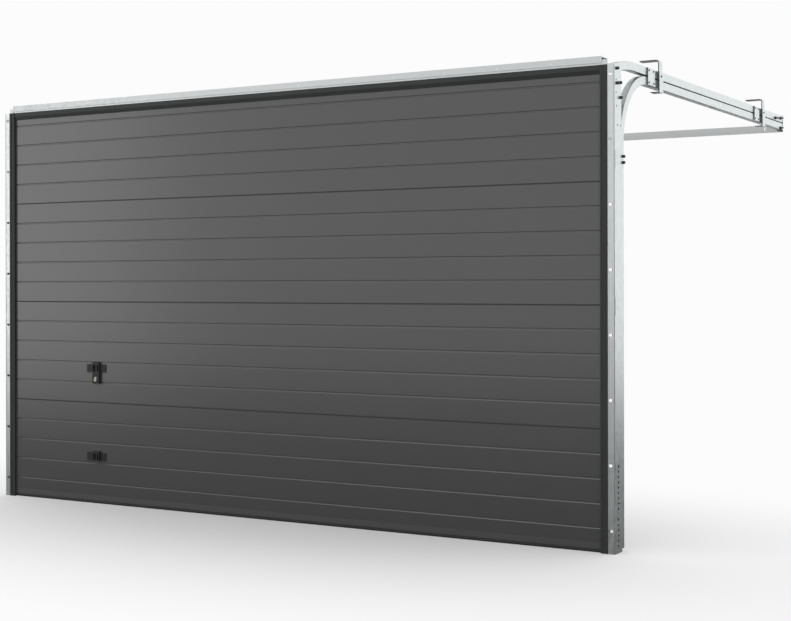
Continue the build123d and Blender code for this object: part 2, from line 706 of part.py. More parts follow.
# Pulleys at the top of the posts, on pins from the webs
with BuildPart() as pulleys:
    with BuildSketch(Plane.XZ) as rim:
        half = PULLEY_WIDTH / 2
        base = PULLEY_GROOVE - CABLE_RADIUS - CABLE_CLEARANCE
        with BuildLine():
            Polyline(
                (-half, AXLE_RADIUS + AXLE_CLEARANCE),
                (half, AXLE_RADIUS + AXLE_CLEARANCE),
                (half, PULLEY_RIM),
                (half - 2, PULLEY_RIM),
                (CABLE_RADIUS + 0.5, base),
                (-CABLE_RADIUS - 0.5, base),
                (2 - half, PULLEY_RIM),
                (-half, PULLEY_RIM),
                close=True,
            )
        make_face()
    wheel = revolve(axis=Axis.X, mode=Mode.PRIVATE)
    with Locations((spring_x, pulley_depth, level(PULLEY_HEIGHT))):
        add(wheel)
    mirror(about=Plane.YZ)

with BuildPart() as pulley_brackets:
    plate = PULLEY_RIM + 4
    box(
        web_inner - BRACKET_GAUGE,
        web_inner,
        pulley_depth - plate,
        pulley_depth + PULLEY_RIM,
        PULLEY_HEIGHT - PULLEY_RIM,
        PULLEY_HEIGHT + PULLEY_RIM,
    )
    rod(spring_x - PULLEY_WIDTH / 2 - 4, web_inner, pulley_depth, PULLEY_HEIGHT, AXLE_RADIUS)
    mirror(about=Plane.YZ)

# Lift cables: from the springs over the pulleys and down to the bottom brackets
with BuildPart() as lift_cables:
    with BuildLine(Plane.YZ.offset(spring_x)) as cable_path:
        up = Line((SPRING_DEPTH, level(SPRING_TOP)), (SPRING_DEPTH, level(PULLEY_HEIGHT)))
        over = CenterArc((pulley_depth, level(PULLEY_HEIGHT)), PULLEY_GROOVE, 180, -180)
        Line(over @ 1, (cable_depth, level(CABLE_PIN_HEIGHT + CABLE_PIN_RADIUS)))
    with BuildSketch(Plane((spring_x, SPRING_DEPTH, level(SPRING_TOP)))):
        Circle(CABLE_RADIUS)
    sweep(path=cable_path.wires()[0])
    mirror(about=Plane.YZ)


def draw_grip(height, low, high):
    """Street-side plate with a standing block that has a finger scoop on each side of its bar."""
    with BuildSketch(across(PANEL_FACE)) as plate:
        with Locations((HANDLE_X, level(height))):
            RectangleRounded(HANDLE_PLATE_LENGTH, HANDLE_PLATE_HEIGHT, HANDLE_BLOCK_ROUND)
    extrude(plate.sketch, amount=HANDLE_PLATE_GAUGE)
    with BuildSketch(across(PANEL_FACE)) as block:
        with Locations((block_x, level((low + high) / 2))):
            RectangleRounded(HANDLE_BLOCK_LENGTH, high - low, HANDLE_BLOCK_ROUND)
    extrude(block.sketch, amount=HANDLE_STAND)
    edge = HANDLE_BLOCK_LENGTH / 2 - SCOOP_MARGIN
    with BuildSketch(across(PANEL_FACE - HANDLE_STAND)) as scoops:
        for side, width in zip((-1, 1), SCOOP_WIDTHS):
            with Locations((block_x + side * (edge - width / 2), level(height))):
                RectangleRounded(width, SCOOP_HEIGHT, HANDLE_BLOCK_ROUND)
    extrude(scoops.sketch, amount=-SCOOP_DEPTH, mode=Mode.SUBTRACT)


# Handle and lock on the street side, and the grip near the door's foot
block_x = HANDLE_X + HANDLE_BLOCK_SHIFT
lock_face = Location((block_x, PANEL_FACE, level(LOCK_HEIGHT)), (90, 0, 0))
with BuildPart() as outer_handle:
    draw_grip(HANDLE_HEIGHT, LOCK_BOTTOM, HANDLE_TOP)
    with Locations(lock_face):
        Cylinder(CYLINDER_RADIUS + AXLE_CLEARANCE, 2 * HANDLE_STAND, mode=Mode.SUBTRACT)

with BuildPart() as lock_cylinder:
    with Locations(lock_face):
        Cylinder(CYLINDER_RADIUS, HANDLE_STAND + CYLINDER_STAND, align=(Align.CENTER, Align.CENTER, Align.MIN))

with BuildPart() as lower_grip:
    draw_grip(GRIP_HEIGHT, GRIP_HEIGHT - HANDLE_PLATE_HEIGHT / 2, GRIP_HEIGHT + GRIP_RISE)

# Latch on the garage side: a flat bolt from the handle to the left post
with BuildPart() as inner_latch:
    with BuildSketch(across(panel_back)):
        with Locations((HANDLE_X, level(HANDLE_HEIGHT))):
            RectangleRounded(HANDLE_PLATE_LENGTH, 3 * BOLT_HEIGHT, 6)
    extrude(amount=-BOLT_DEPTH)
    with Locations(Location((HANDLE_X, panel_back + BOLT_DEPTH + BOLT_GAUGE, level(HANDLE_HEIGHT)), (-90, 0, 0))):
        Cylinder(SOCKET_RADIUS, 25, align=(Align.CENTER, Align.CENTER, Align.MIN))
        Cylinder(2 * SOCKET_RADIUS, SOCKET_RADIUS, align=(Align.CENTER, Align.CENTER, Align.MAX))
    box(
        -post_outer + 1,
        HANDLE_X + BOLT_HEIGHT,
        panel_back + BOLT_DEPTH,
        panel_back + BOLT_DEPTH + BOLT_GAUGE,
        HANDLE_HEIGHT - BOLT_HEIGHT / 2,
        HANDLE_HEIGHT + BOLT_HEIGHT / 2,
    )

# Ceiling drive: the boom, its straps, the head, the trolley and the arm to the top panel
boom_top = ceiling - BOOM_STRAP
boom_bottom = boom_top - BOOM_HEIGHT
with BuildPart() as drive_boom:
    with BuildSketch(Plane((0, BOOM_FRONT, level(boom_bottom + BOOM_HEIGHT / 2)), x_dir=(1, 0, 0), z_dir=(0, 1, 0))):
        Rectangle(BOOM_WIDTH, BOOM_HEIGHT)
        Rectangle(BOOM_WIDTH - 2 * BOOM_GAUGE, BOOM_HEIGHT - 2 * BOOM_GAUGE, mode=Mode.SUBTRACT)
        with Locations((0, BOOM_HEIGHT / 2)):
            Rectangle(BOOM_SLOT, 3 * BOOM_GAUGE, mode=Mode.SUBTRACT)
    extrude(amount=BOOM_BACK - BOOM_FRONT)

with BuildPart() as boom_straps:
    side = BOOM_WIDTH / 2
    for y in BOOM_STRAPS:
        y0, y1 = y - BOOM_STRAP_WIDTH / 2, y + BOOM_STRAP_WIDTH / 2
        box(-BOOM_STRAP_HALF, BOOM_STRAP_HALF, y0, y1, boom_top, ceiling)
        box(-side - BOOM_STRAP, -side, y0, y1, boom_bottom, boom_top)
        box(side, side + BOOM_STRAP, y0, y1, boom_bottom, boom_top)
        for x in (-BOOM_STRAP_HALF + 20, BOOM_STRAP_HALF - 20):
            with Locations((x, y, level(ceiling) - BOOM_STRAP / 2)):
                Cylinder(CEILING_HOLE_RADIUS, 2 * BOOM_STRAP, mode=Mode.SUBTRACT)

with BuildPart() as drive_head:
    head_low = ceiling - HEAD_HEIGHT
    box(-HEAD_WIDTH / 2, HEAD_WIDTH / 2, BOOM_BACK, BOOM_BACK + HEAD_LENGTH, head_low, ceiling)
    fillet(drive_head.edges().filter_by(Axis.Z), 30)
    fillet(drive_head.faces().sort_by(Axis.Z)[0].edges(), 14)

with BuildPart() as trolley:
    t0, t1 = TROLLEY_Y - TROLLEY_LENGTH / 2, TROLLEY_Y + TROLLEY_LENGTH / 2
    inside = BOOM_WIDTH / 2 - BOOM_GAUGE - 0.5
    box(-inside, inside, t0, t1, boom_bottom + BOOM_GAUGE + 0.3, boom_top - BOOM_GAUGE - 5)
    box(-BOOM_SLOT / 2 + 0.5, BOOM_SLOT / 2 - 0.5, t0, t1, boom_bottom - 1, boom_bottom + BOOM_GAUGE + 1)
    box(-inside, inside, t0, t1, boom_bottom - TROLLEY_DROP, boom_bottom - 0.5)
    arm_top = boom_bottom - TROLLEY_DROP / 2
    rod(-inside, inside + 2 * ARM_GAUGE, TROLLEY_Y, arm_top, ARM_PIN_RADIUS)

with BuildPart() as door_arm:
    reach, climb = TROLLEY_Y - ARM_PIN_DEPTH, arm_top - ARM_PIN_HEIGHT
    with BuildSketch(Plane.YZ.offset(inside + AXLE_CLEARANCE)):
        with Locations(((TROLLEY_Y + ARM_PIN_DEPTH) / 2, level((arm_top + ARM_PIN_HEIGHT) / 2))):
            SlotCenterToCenter(sqrt(reach**2 + climb**2), ARM_WIDTH, rotation=degrees(atan2(climb, reach)))
        with Locations((TROLLEY_Y, level(arm_top)), (ARM_PIN_DEPTH, level(ARM_PIN_HEIGHT))):
            Circle(ARM_PIN_RADIUS + AXLE_CLEARANCE, mode=Mode.SUBTRACT)
    extrude(amount=ARM_GAUGE)

# Bracket on the top panel that the arm pulls on
with BuildPart() as arm_bracket:
    low, high = ARM_PIN_HEIGHT - ARM_WIDTH, ARM_PIN_HEIGHT + ARM_WIDTH
    ear = inside + 2 * AXLE_CLEARANCE + ARM_GAUGE
    box(-BOOM_WIDTH, BOOM_WIDTH, panel_back, panel_back + BRACKET_GAUGE, low, high)
    box(ear, ear + BRACKET_GAUGE, panel_back, ARM_PIN_DEPTH + ARM_WIDTH / 2, low + 10, high - 10)
    rod(inside - ARM_GAUGE, ear, ARM_PIN_DEPTH, ARM_PIN_HEIGHT, ARM_PIN_RADIUS)

finished = {
    "post_right": post_right.part,
    "post_left": post_left.part,
    "side_seal_right": side_seal_right.part,
    "side_seal_left": side_seal_left.part,
    "lintel": lintel.part,
    "corner_plates": corner_plates.part,
    "top_seal": top_seal.part,
    "vertical_track_right": vertical_track_right.part,
    "vertical_track_left": vertical_track_left.part,
    "track_bend_right": track_bend_right.part,
    "track_bend_left": track_bend_left.part,
    "lower_rail_right": lower_rail_right.part,
    "lower_rail_left": lower_rail_left.part,
    "upper_rail_right": upper_rail_right.part,
    "upper_rail_left": upper_rail_left.part,
    "track_brackets": track_brackets.part,
    "splice_plates": splice_plates.part,
    "rail_hangers": rail_hangers.part,
    "rear_cross_bar": rear_cross_bar.part,
    "rail_end_plates": rail_end_plates.part,
    "end_caps": end_caps.part,
    "bottom_shoe": bottom_shoe.part,
    "floor_seal": floor_seal.part,
    "side_hinges": side_hinges.part,
    "centre_hinges": centre_hinges.part,
    "bottom_brackets": bottom_brackets.part,
    "top_roller_carriers": top_roller_carriers.part,
    "rollers": rollers.part,
    "springs": springs.part,
    "pulleys": pulleys.part,
    "pulley_brackets": pulley_brackets.part,
    "lift_cables": lift_cables.part,
    "outer_handle": outer_handle.part,
    "lock_cylinder": lock_cylinder.part,
    "lower_grip": lower_grip.part,
    "inner_latch": inner_latch.part,
    "drive_boom": drive_boom.part,
    "boom_straps": boom_straps.part,
    "drive_head": drive_head.part,
    "trolley": trolley.part,
    "door_arm": door_arm.part,
    "arm_bracket": arm_bracket.part,
}
finished |= {f"panel_{i + 1}": panel for i, panel in enumerate(panels)}

os.makedirs("parts", exist_ok=True)
for name, part in finished.items():
    part.label = name
    export_step(part, f"parts/{name}.step")
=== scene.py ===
"""Dresses the electric sectional garage door and stands it in a plain pale studio.

Metres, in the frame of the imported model: X runs to the right seen from the street, Y into the
garage and Z up, and the origin is the middle of the lintel's wall face. The finishes go on the
model's own nodes, and the fasteners, spring coils, seal beads and drive details are added here.
The classes of the added pieces hold millimetres, with heights measured from the floor, and
add_piece turns them into the frame's metres.
"""

from __future__ import annotations

import logging
import math
from dataclasses import dataclass
from enum import Enum

import bmesh
import bpy
import numpy as np
from mathutils import Matrix

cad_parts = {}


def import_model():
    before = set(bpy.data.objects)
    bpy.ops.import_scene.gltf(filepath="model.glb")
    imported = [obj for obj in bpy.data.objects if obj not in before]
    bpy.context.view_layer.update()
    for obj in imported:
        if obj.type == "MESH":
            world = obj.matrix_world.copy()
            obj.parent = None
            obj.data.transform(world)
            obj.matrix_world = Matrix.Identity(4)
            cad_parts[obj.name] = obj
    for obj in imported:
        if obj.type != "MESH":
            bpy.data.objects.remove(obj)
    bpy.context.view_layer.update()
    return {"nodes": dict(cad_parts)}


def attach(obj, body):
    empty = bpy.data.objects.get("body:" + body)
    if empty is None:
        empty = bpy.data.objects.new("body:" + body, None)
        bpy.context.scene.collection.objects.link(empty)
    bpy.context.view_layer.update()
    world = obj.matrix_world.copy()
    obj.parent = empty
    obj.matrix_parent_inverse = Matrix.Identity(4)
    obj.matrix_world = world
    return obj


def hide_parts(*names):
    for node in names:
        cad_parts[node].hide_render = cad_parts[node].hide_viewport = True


log = logging.getLogger("garage_door")

Point = tuple[float, float, float]
Pair = tuple[float, float]
# Points, and one row of four point numbers for each quad.
Shape = tuple[np.ndarray, np.ndarray]

MILLIMETRES = 1000
FLOOR_DROP = 1.991
SHARP_EDGE = math.radians(35)
MERGE_WITHIN = 1e-6
EMPTY_UNDER = 1e-7
PAD_POWER = 3.0

# Millimetres that several classes share: the outer face of the posts' webs, the springs' depth,
# the joints between the panels and the height of the outer handle.
WEB_FACE = 1674.0
SPRING_DEPTH = 36.0
JOINTS = (500.0, 1000.0, 1500.0)
HANDLE_HEIGHT = 671.0

# The row of hook holes that the springs' hooks go through.
HOOK_ROW = 8

# Numbers of the Mix node's sockets: floats, colours and the mixed colour.
FLOAT_A, FLOAT_B, COLOUR_A, COLOUR_B, MIXED_COLOUR = 2, 3, 6, 7, 2


def linear(colour: str) -> tuple[float, float, float, float]:
    """Turns an sRGB hex colour into linear light, by the sRGB curve.

    Args:
        colour: six hex digits, such as "5a5a5a".

    Returns:
        Red, green, blue and an alpha of 1.
    """
    parts = [int(colour[i : i + 2], 16) / 255 for i in (0, 2, 4)]
    r, g, b = (c / 12.92 if c <= 0.04045 else ((c + 0.055) / 1.055) ** 2.4 for c in parts)
    return r, g, b, 1.0


def add_node(
    tree: bpy.types.NodeTree, kind: str, inputs: dict | None = None, **settings: object
) -> bpy.types.Node:
    """Adds one shader node with its settings, values and links.

    Args:
        tree: the node tree that the node goes into.
        kind: the node's type name.
        inputs: input name or number to its fixed value, or to the socket that feeds it.
        **settings: the node's own attributes.

    Returns:
        The new node.
    """
    node = tree.nodes.new(kind)
    for name, value in settings.items():
        setattr(node, name, value)
    for name, value in (inputs or {}).items():
        if isinstance(value, bpy.types.NodeSocket):
            tree.links.new(value, node.inputs[name])
        else:
            node.inputs[name].default_value = value
    return node


def start_material(
    name: str, **values: float
) -> tuple[bpy.types.Material, bpy.types.NodeTree, bpy.types.Node]:
    """Makes a material with one shader.

    Args:
        name: what the finish is called.
        **values: inputs of the shader, with underscores for the spaces in their names.

    Returns:
        The material, its node tree and the shader.
    """
    material = bpy.data.materials.new(name)
    material.use_nodes = True
    tree = material.node_tree
    shader = tree.nodes["Principled BSDF"]
    for key, value in values.items():
        shader.inputs[key.replace("_", " ")].default_value = value
    return material, tree, shader


def cloud_colour(
    tree: bpy.types.NodeTree, space: bpy.types.NodeSocket, width: float, first: str, second: str
) -> tuple[bpy.types.NodeSocket, bpy.types.NodeSocket]:
    """Blends two close colours in soft blotches, as a coat, a mould or a bath leaves them.

    Args:
        tree: the material's node tree.
        space: the socket of the piece's own metres.
        width: about how wide a blotch is, in millimetres.
        first: one sRGB hex colour.
        second: the other.

    Returns:
        The sockets of the blotches' factor and of the blended colour.
    """
    blotches = add_node(
        tree, "ShaderNodeTexNoise", {"Vector": space, "Scale": MILLIMETRES / width, "Detail": 3}
    )
    factor = blotches.outputs["Fac"]
    colour = add_node(
        tree,
        "ShaderNodeMix",
        {0: factor, COLOUR_A: linear(first), COLOUR_B: linear(second)},
        data_type="RGBA",
    )
    return factor, colour.outputs[MIXED_COLOUR]


def grain_skin(
    tree: bpy.types.NodeTree,
    shader: bpy.types.Node,
    space: bpy.types.NodeSocket,
    grain: float,
    relief: float,
    roughness: Pair,
) -> None:
    """Gives a skin one fine grain that lifts its surface and swings its roughness.

    Args:
        tree: the material's node tree.
        shader: the shader of the skin.
        space: the socket of the piece's own metres.
        grain: about how wide a grain is, in millimetres.
        relief: how far it stands up, in millimetres.
        roughness: the lowest and the highest roughness.
    """
    grains = add_node(
        tree, "ShaderNodeTexNoise", {"Vector": space, "Scale": MILLIMETRES / grain, "Detail": 1}
    )
    fine = grains.outputs["Fac"]
    rough = add_node(
        tree, "ShaderNodeMapRange", {"Value": fine, "To Min": roughness[0], "To Max": roughness[1]}
    )
    lifted = add_node(
        tree, "ShaderNodeBump", {"Height": fine, "Distance": relief / MILLIMETRES, "Strength": 1.0}
    )
    tree.links.new(rough.outputs["Result"], shader.inputs["Roughness"])
    tree.links.new(lifted.outputs["Normal"], shader.inputs["Normal"])


@dataclass(frozen=True)
class CoatedSteel:
    """Coil-coated steel sheet: satin polyester over a fine rolled stucco that breaks up its gloss.

    The stucco's grain is 1.6 mm wide. The upper flank of each pressed rib, which lies behind the
    sheet's face at a depth Y past 10 mm and looks down, is painted in a paler colour: painted light
    that lifts the shade of that flank. Sizes are in millimetres.
    """

    name: str
    colour: str
    tint: str
    # The rib colour is painted light, paler than the coat, on the ribs' downward flanks.
    rib: str
    painted_rib_depths: Pair = (10.2, 11.0)
    painted_rib_facing: Pair = (0.1, -0.5)
    cloud: float = 350.0
    grain: float = 1.6
    relief: float = 0.06
    roughness: float = 0.24
    swing: float = 0.05
    specular: float = 1.0

    def build(self) -> bpy.types.Material:
        """Makes the material.

        Returns:
            The new material.
        """
        material, tree, shader = start_material(self.name, Specular_IOR_Level=self.specular)
        coordinates = add_node(tree, "ShaderNodeTexCoord")
        space = coordinates.outputs["Object"]
        place = add_node(tree, "ShaderNodeSeparateXYZ", {0: space})
        facing = add_node(tree, "ShaderNodeSeparateXYZ", {0: coordinates.outputs["Normal"]})
        # Painted light: the downward flanks behind the face take the paler rib colour.
        start, full = (depth / MILLIMETRES for depth in self.painted_rib_depths)
        behind = add_node(
            tree,
            "ShaderNodeMapRange",
            {"Value": place.outputs["Y"], "From Min": start, "From Max": full},
        )
        start, full = self.painted_rib_facing
        downward = add_node(
            tree,
            "ShaderNodeMapRange",
            {"Value": facing.outputs["Z"], "From Min": start, "From Max": full},
        )
        painted_rib_light = add_node(
            tree,
            "ShaderNodeMath",
            {0: behind.outputs["Result"], 1: downward.outputs["Result"]},
            operation="MULTIPLY",
        )
        _, flat = cloud_colour(tree, space, self.cloud, self.colour, self.tint)
        coat = add_node(
            tree,
            "ShaderNodeMix",
            {0: painted_rib_light.outputs[0], COLOUR_A: flat, COLOUR_B: linear(self.rib)},
            data_type="RGBA",
        )
        tree.links.new(coat.outputs[MIXED_COLOUR], shader.inputs["Base Color"])
        roughness = (self.roughness - self.swing, self.roughness + self.swing)
        grain_skin(tree, shader, space, self.grain, self.relief, roughness)
        return material


@dataclass(frozen=True)
class GalvanisedSteel:
    """Hot-dip galvanised sheet: bright zinc with a faint spangle of crystals about 12 mm wide.

    The faces that look sideways, along X, keep the bright zinc colour. The faces that do not, such
    as bends, lips and the flats square to them, take a darker colour: painted shade that follows
    where each face looks. Towards the left end of the door the zinc is painted darker as shade,
    falling to a given share of its colour from an X of 200 mm to one of -1700 mm. Sizes are in
    millimetres.
    """

    name: str
    colour: str
    tint: str
    # Painted shade: the darker colour of the faces that do not look along X.
    painted_face_shade: str
    # Painted shade: the share of its colour that the zinc falls to at the door's left end.
    painted_left_shade: float = 1.0
    left_shade_reach: Pair = (-1700.0, 200.0)
    sideways: Pair = (0.5, 0.9)
    spangle: float = 12.0
    grain: float = 4.0
    relief: float = 0.03
    roughness: float = 0.36
    swing: float = 0.06

    def build(self) -> bpy.types.Material:
        """Makes the material.

        Returns:
            The new material.
        """
        material, tree, shader = start_material(self.name, Metallic=1.0)
        coordinates = add_node(tree, "ShaderNodeTexCoord")
        space = coordinates.outputs["Object"]
        crystals = add_node(
            tree,
            "ShaderNodeTexVoronoi",
            {"Vector": space, "Scale": MILLIMETRES / self.spangle, "Randomness": 1.0},
        )
        tone = add_node(tree, "ShaderNodeSeparateColor", {"Color": crystals.outputs["Color"]})
        zinc = add_node(
            tree,
            "ShaderNodeMix",
            {0: tone.outputs[0], COLOUR_A: linear(self.colour), COLOUR_B: linear(self.tint)},
            data_type="RGBA",
        )
        # Painted shade: faces that do not look along X are mixed towards the darker colour.
        facing = add_node(tree, "ShaderNodeSeparateXYZ", {0: coordinates.outputs["Normal"]})
        across = add_node(tree, "ShaderNodeMath", {0: facing.outputs["X"]}, operation="ABSOLUTE")
        start, full = self.sideways
        flat = add_node(
            tree,
            "ShaderNodeMapRange",
            {"Value": across.outputs[0], "From Min": start, "From Max": full},
        )
        skin = add_node(
            tree,
            "ShaderNodeMix",
            {
                0: flat.outputs["Result"],
                COLOUR_A: linear(self.painted_face_shade),
                COLOUR_B: zinc.outputs[MIXED_COLOUR],
            },
            data_type="RGBA",
        )
        # Painted shade: the colour is scaled down towards the door's left end.
        place = add_node(tree, "ShaderNodeSeparateXYZ", {0: space})
        left, right = (x / MILLIMETRES for x in self.left_shade_reach)
        share = add_node(
            tree,
            "ShaderNodeMapRange",
            {
                "Value": place.outputs["X"],
                "From Min": left,
                "From Max": right,
                "To Min": self.painted_left_shade,
                "To Max": 1.0,
            },
        )
        left_shaded = add_node(
            tree,
            "ShaderNodeVectorMath",
            {0: skin.outputs[MIXED_COLOUR], "Scale": share.outputs["Result"]},
            operation="SCALE",
        )
        rough = add_node(
            tree,
            "ShaderNodeMapRange",
            {
                "Value": tone.outputs[1],
                "To Min": self.roughness - self.swing,
                "To Max": self.roughness + self.swing,
            },
        )
        grains = add_node(
            tree,
            "ShaderNodeTexNoise",
            {"Vector": space, "Scale": MILLIMETRES / self.grain, "Detail": 2},
        )
        lifted = add_node(
            tree,
            "ShaderNodeBump",
            {
                "Height": grains.outputs["Fac"],
                "Distance": self.relief / MILLIMETRES,
                "Strength": 1.0,
            },
        )
        tree.links.new(left_shaded.outputs["Vector"], shader.inputs["Base Color"])
        tree.links.new(rough.outputs["Result"], shader.inputs["Roughness"])
        tree.links.new(lifted.outputs["Normal"], shader.inputs["Normal"])
        return material


@dataclass(frozen=True)
class Moulding:
    """Moulded plastic or extruded rubber: one colour with a fine matt skin, sizes in millimetres.

    The grain of the real mould is finer than 0.8 mm and is drawn at that width so that it shows.
    """

    name: str
    colour: str
    tint: str
    cloud: float = 80.0
    grain: float = 0.8
    relief: float = 0.03
    roughness: float = 0.55
    swing: float = 0.06

    def build(self) -> bpy.types.Material:
        """Makes the material.

        Returns:
            The new material.
        """
        material, tree, shader = start_material(self.name)
        space = add_node(tree, "ShaderNodeTexCoord").outputs["Object"]
        _, colour = cloud_colour(tree, space, self.cloud, self.colour, self.tint)
        tree.links.new(colour, shader.inputs["Base Color"])
        roughness = (self.roughness - self.swing, self.roughness + self.swing)
        grain_skin(tree, shader, space, self.grain, self.relief, roughness)
        return material


@dataclass(frozen=True)
class PlatedMetal:
    """Small steel or nickel parts: a thin plating that its bath clouds in tone and in gloss.

    The clouds are 20 mm wide. Sizes are in millimetres.
    """

    name: str
    colour: str
    tint: str
    cloud: float = 20.0
    roughness: float = 0.3
    swing: float = 0.08

    def build(self) -> bpy.types.Material:
        """Makes the material.

        Returns:
            The new material.
        """
        material, tree, shader = start_material(self.name, Metallic=1.0)
        space = add_node(tree, "ShaderNodeTexCoord").outputs["Object"]
        factor, colour = cloud_colour(tree, space, self.cloud, self.colour, self.tint)
        rough = add_node(
            tree,
            "ShaderNodeMapRange",
            {
                "Value": factor,
                "To Min": self.roughness - self.swing,
                "To Max": self.roughness + self.swing,
            },
        )
        tree.links.new(colour, shader.inputs["Base Color"])
        tree.links.new(rough.outputs["Result"], shader.inputs["Roughness"])
        return material


class Finish(Enum):
    """The finishes of the door, each built once and shared."""

    # The fourth colour of each coated finish is painted light on the ribs' downward flanks.
    PANEL = CoatedSteel("anthracite coil-coated steel", "434343", "464646", "6c6c6c")
    SHOE = CoatedSteel("anthracite shoe profile", "3a3a3a", "3e3e3e", "3c3c3c", roughness=0.5)
    # The zinc finishes are lit and shaded copies of one material: the fourth colour of each is
    # painted shade on the faces that do not look along X, darkest on the hangers; the posts' and
    # lintel's zinc is painted darker towards the door's left end, and the lintel's whole zinc is
    # drawn darker as painted shade.
    GALVANISED = GalvanisedSteel("galvanised steel", "e2e8e8", "e8eeee", "dcdfdf")
    POST = GalvanisedSteel("galvanised post", "e2e8e8", "e8eeee", "dee1e1", painted_left_shade=0.88)
    LINTEL = GalvanisedSteel("galvanised steel cover", "d6dada", "dadede", "d6dada", painted_left_shade=0.72)
    TRACK = GalvanisedSteel("galvanised track", "e2e8e8", "e8eeee", "aeb4b4")
    HANGER = GalvanisedSteel("galvanised hanger", "e2e8e8", "e8eeee", "6c7072")
    ZINC = PlatedMetal("bright zinc plate", "b9bdbf", "d3d6d8")
    BOLT = PlatedMetal("black-passivated fastener", "484d4f", "565b5d", roughness=0.4)
    # Pale pads in the lintel's slots: painted light that stands in for the light seen through them.
    PLUG = Moulding("white painted slot light", "f2f2f2", "f6f6f6", roughness=0.5)
    LAMP = Moulding("frosted polycarbonate", "d9dbdb", "e0e2e2", roughness=0.35)
    RUBBER = Moulding("black EPDM rubber", "2b2d2d", "333535", roughness=0.6)
    HANDLE = Moulding("black glass-filled nylon", "1c1c1c", "242424", roughness=0.5)
    ROLLER = Moulding("white nylon", "cfcdc5", "dcdad2", roughness=0.4)
    DRIVE = Moulding("grey ABS", "55585a", "5b5e60", roughness=0.45)
    LOCK = PlatedMetal("satin nickel", "a8a49c", "bbb7ae", roughness=0.25)
    SPRING = PlatedMetal("oiled spring wire", "3c3c3e", "4a4a4c", roughness=0.35)
    CABLE = PlatedMetal("stranded steel wire", "8d8f90", "a2a4a5", roughness=0.4)

    @property
    def material(self) -> bpy.types.Material:
        """The Blender material of this finish, made at its first use."""
        return bpy.data.materials.get(self.value.name) or self.value.build()


NODE_FINISHES = {
    Finish.PANEL: ("panel_1", "panel_2", "panel_3", "panel_4"),
    Finish.SHOE: ("bottom_shoe",),
    Finish.GALVANISED: ("rear_cross_bar", "end_caps", "drive_boom"),
    Finish.POST: ("post_right", "post_left"),
    Finish.LINTEL: ("lintel", "corner_plates"),
    Finish.TRACK: (
        "vertical_track_right",
        "vertical_track_left",
        "track_bend_right",
        "track_bend_left",
        "lower_rail_right",
        "lower_rail_left",
        "upper_rail_right",
        "upper_rail_left",
    ),
    Finish.HANGER: ("rail_hangers", "splice_plates"),
    Finish.ZINC: (
        "track_brackets",
        "rail_end_plates",
        "side_hinges",
        "centre_hinges",
        "bottom_brackets",
        "top_roller_carriers",
        "pulleys",
        "pulley_brackets",
        "inner_latch",
        "boom_straps",
        "door_arm",
        "arm_bracket",
    ),
    Finish.RUBBER: ("side_seal_right", "side_seal_left", "top_seal", "floor_seal"),
    Finish.HANDLE: ("outer_handle", "lower_grip", "trolley"),
    Finish.ROLLER: ("rollers",),
    Finish.DRIVE: ("drive_head",),
    Finish.LOCK: ("lock_cylinder",),
    Finish.SPRING: ("springs",),
    Finish.CABLE: ("lift_cables",),
}


def dress_nodes(nodes: dict[str, bpy.types.Object]) -> None:
    """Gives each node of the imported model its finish.

    Args:
        nodes: node name to object.
    """
    for finish, names in NODE_FINISHES.items():
        for name in names:
            nodes[name].data.materials.clear()
            nodes[name].data.materials.append(finish.material)
            log.info("%s: %s", name, finish.value.name)


def grid_faces(rows: int, columns: int) -> np.ndarray:
    """Quads of a grid that is closed round its columns and open along its rows.

    Args:
        rows: rings of points.
        columns: points in each ring.

    Returns:
        One row of four point numbers for each quad.
    """
    row, column = np.meshgrid(np.arange(rows - 1), np.arange(columns), indexing="ij")
    here, beside = row * columns + column, row * columns + (column + 1) % columns
    return np.stack([here, beside, beside + columns, here + columns], axis=-1).reshape(-1, 4)


def turned(profile: list[Pair], sides: int = 12, hexagon: tuple[int, ...] = ()) -> Shape:
    """A turned shape whose listed rings are hexagons, as on a bolt's head.

    At angle a and ring t the point is (r cos a, r sin a, h), with r and h from the profile. On a
    hexagon's ring, r is half the width across the flats over the cosine of the angle to the
    nearest flat.

    Args:
        profile: radius and height of each ring; a radius of 0 closes the shape.
        sides: points round each ring.
        hexagon: numbers of the rings that are hexagons.

    Returns:
        The shape, standing along Z.
    """
    angle = np.arange(sides) * 2 * np.pi / sides
    radius, height = np.array(profile, float).T
    rings = np.repeat(radius[:, None], sides, axis=1)
    to_flat = (angle + np.pi / 6) % (np.pi / 3) - np.pi / 6
    for ring in hexagon:
        rings[ring] = radius[ring] / np.cos(to_flat)
    points = np.stack(
        [rings * np.cos(angle), rings * np.sin(angle), np.repeat(height[:, None], sides, axis=1)],
        axis=-1,
    )
    return points.reshape(-1, 3), grid_faces(len(profile), sides)


def turned_ring(profile: list[Pair], sides: int = 12) -> Shape:
    """A turned profile closed on itself: its last ring meets its first.

    Args:
        profile: radius and height of each ring.
        sides: points round each ring.

    Returns:
        The shape, lying square to Z.
    """
    points, faces = turned(profile, sides)
    column = np.arange(sides)
    beside = (column + 1) % sides
    last = (len(profile) - 1) * sides
    seam = np.stack([last + column, last + beside, beside, column], axis=-1)
    return points, np.concatenate([faces, seam])


def stand_on(shape: Shape, direction: Point) -> Shape:
    """Turns a shape that stands along Z so that it stands along another direction.

    Args:
        shape: the shape to turn.
        direction: the axis of the frame, or its opposite, that the shape's Z becomes.

    Returns:
        The turned shape.
    """
    points, faces = shape
    up = np.array(direction, float)
    side = np.cross(up, (0.0, 1.0, 0.0) if abs(up[2]) == 1 else (0.0, 0.0, 1.0))
    return points @ np.array([side, np.cross(up, side), up]), faces


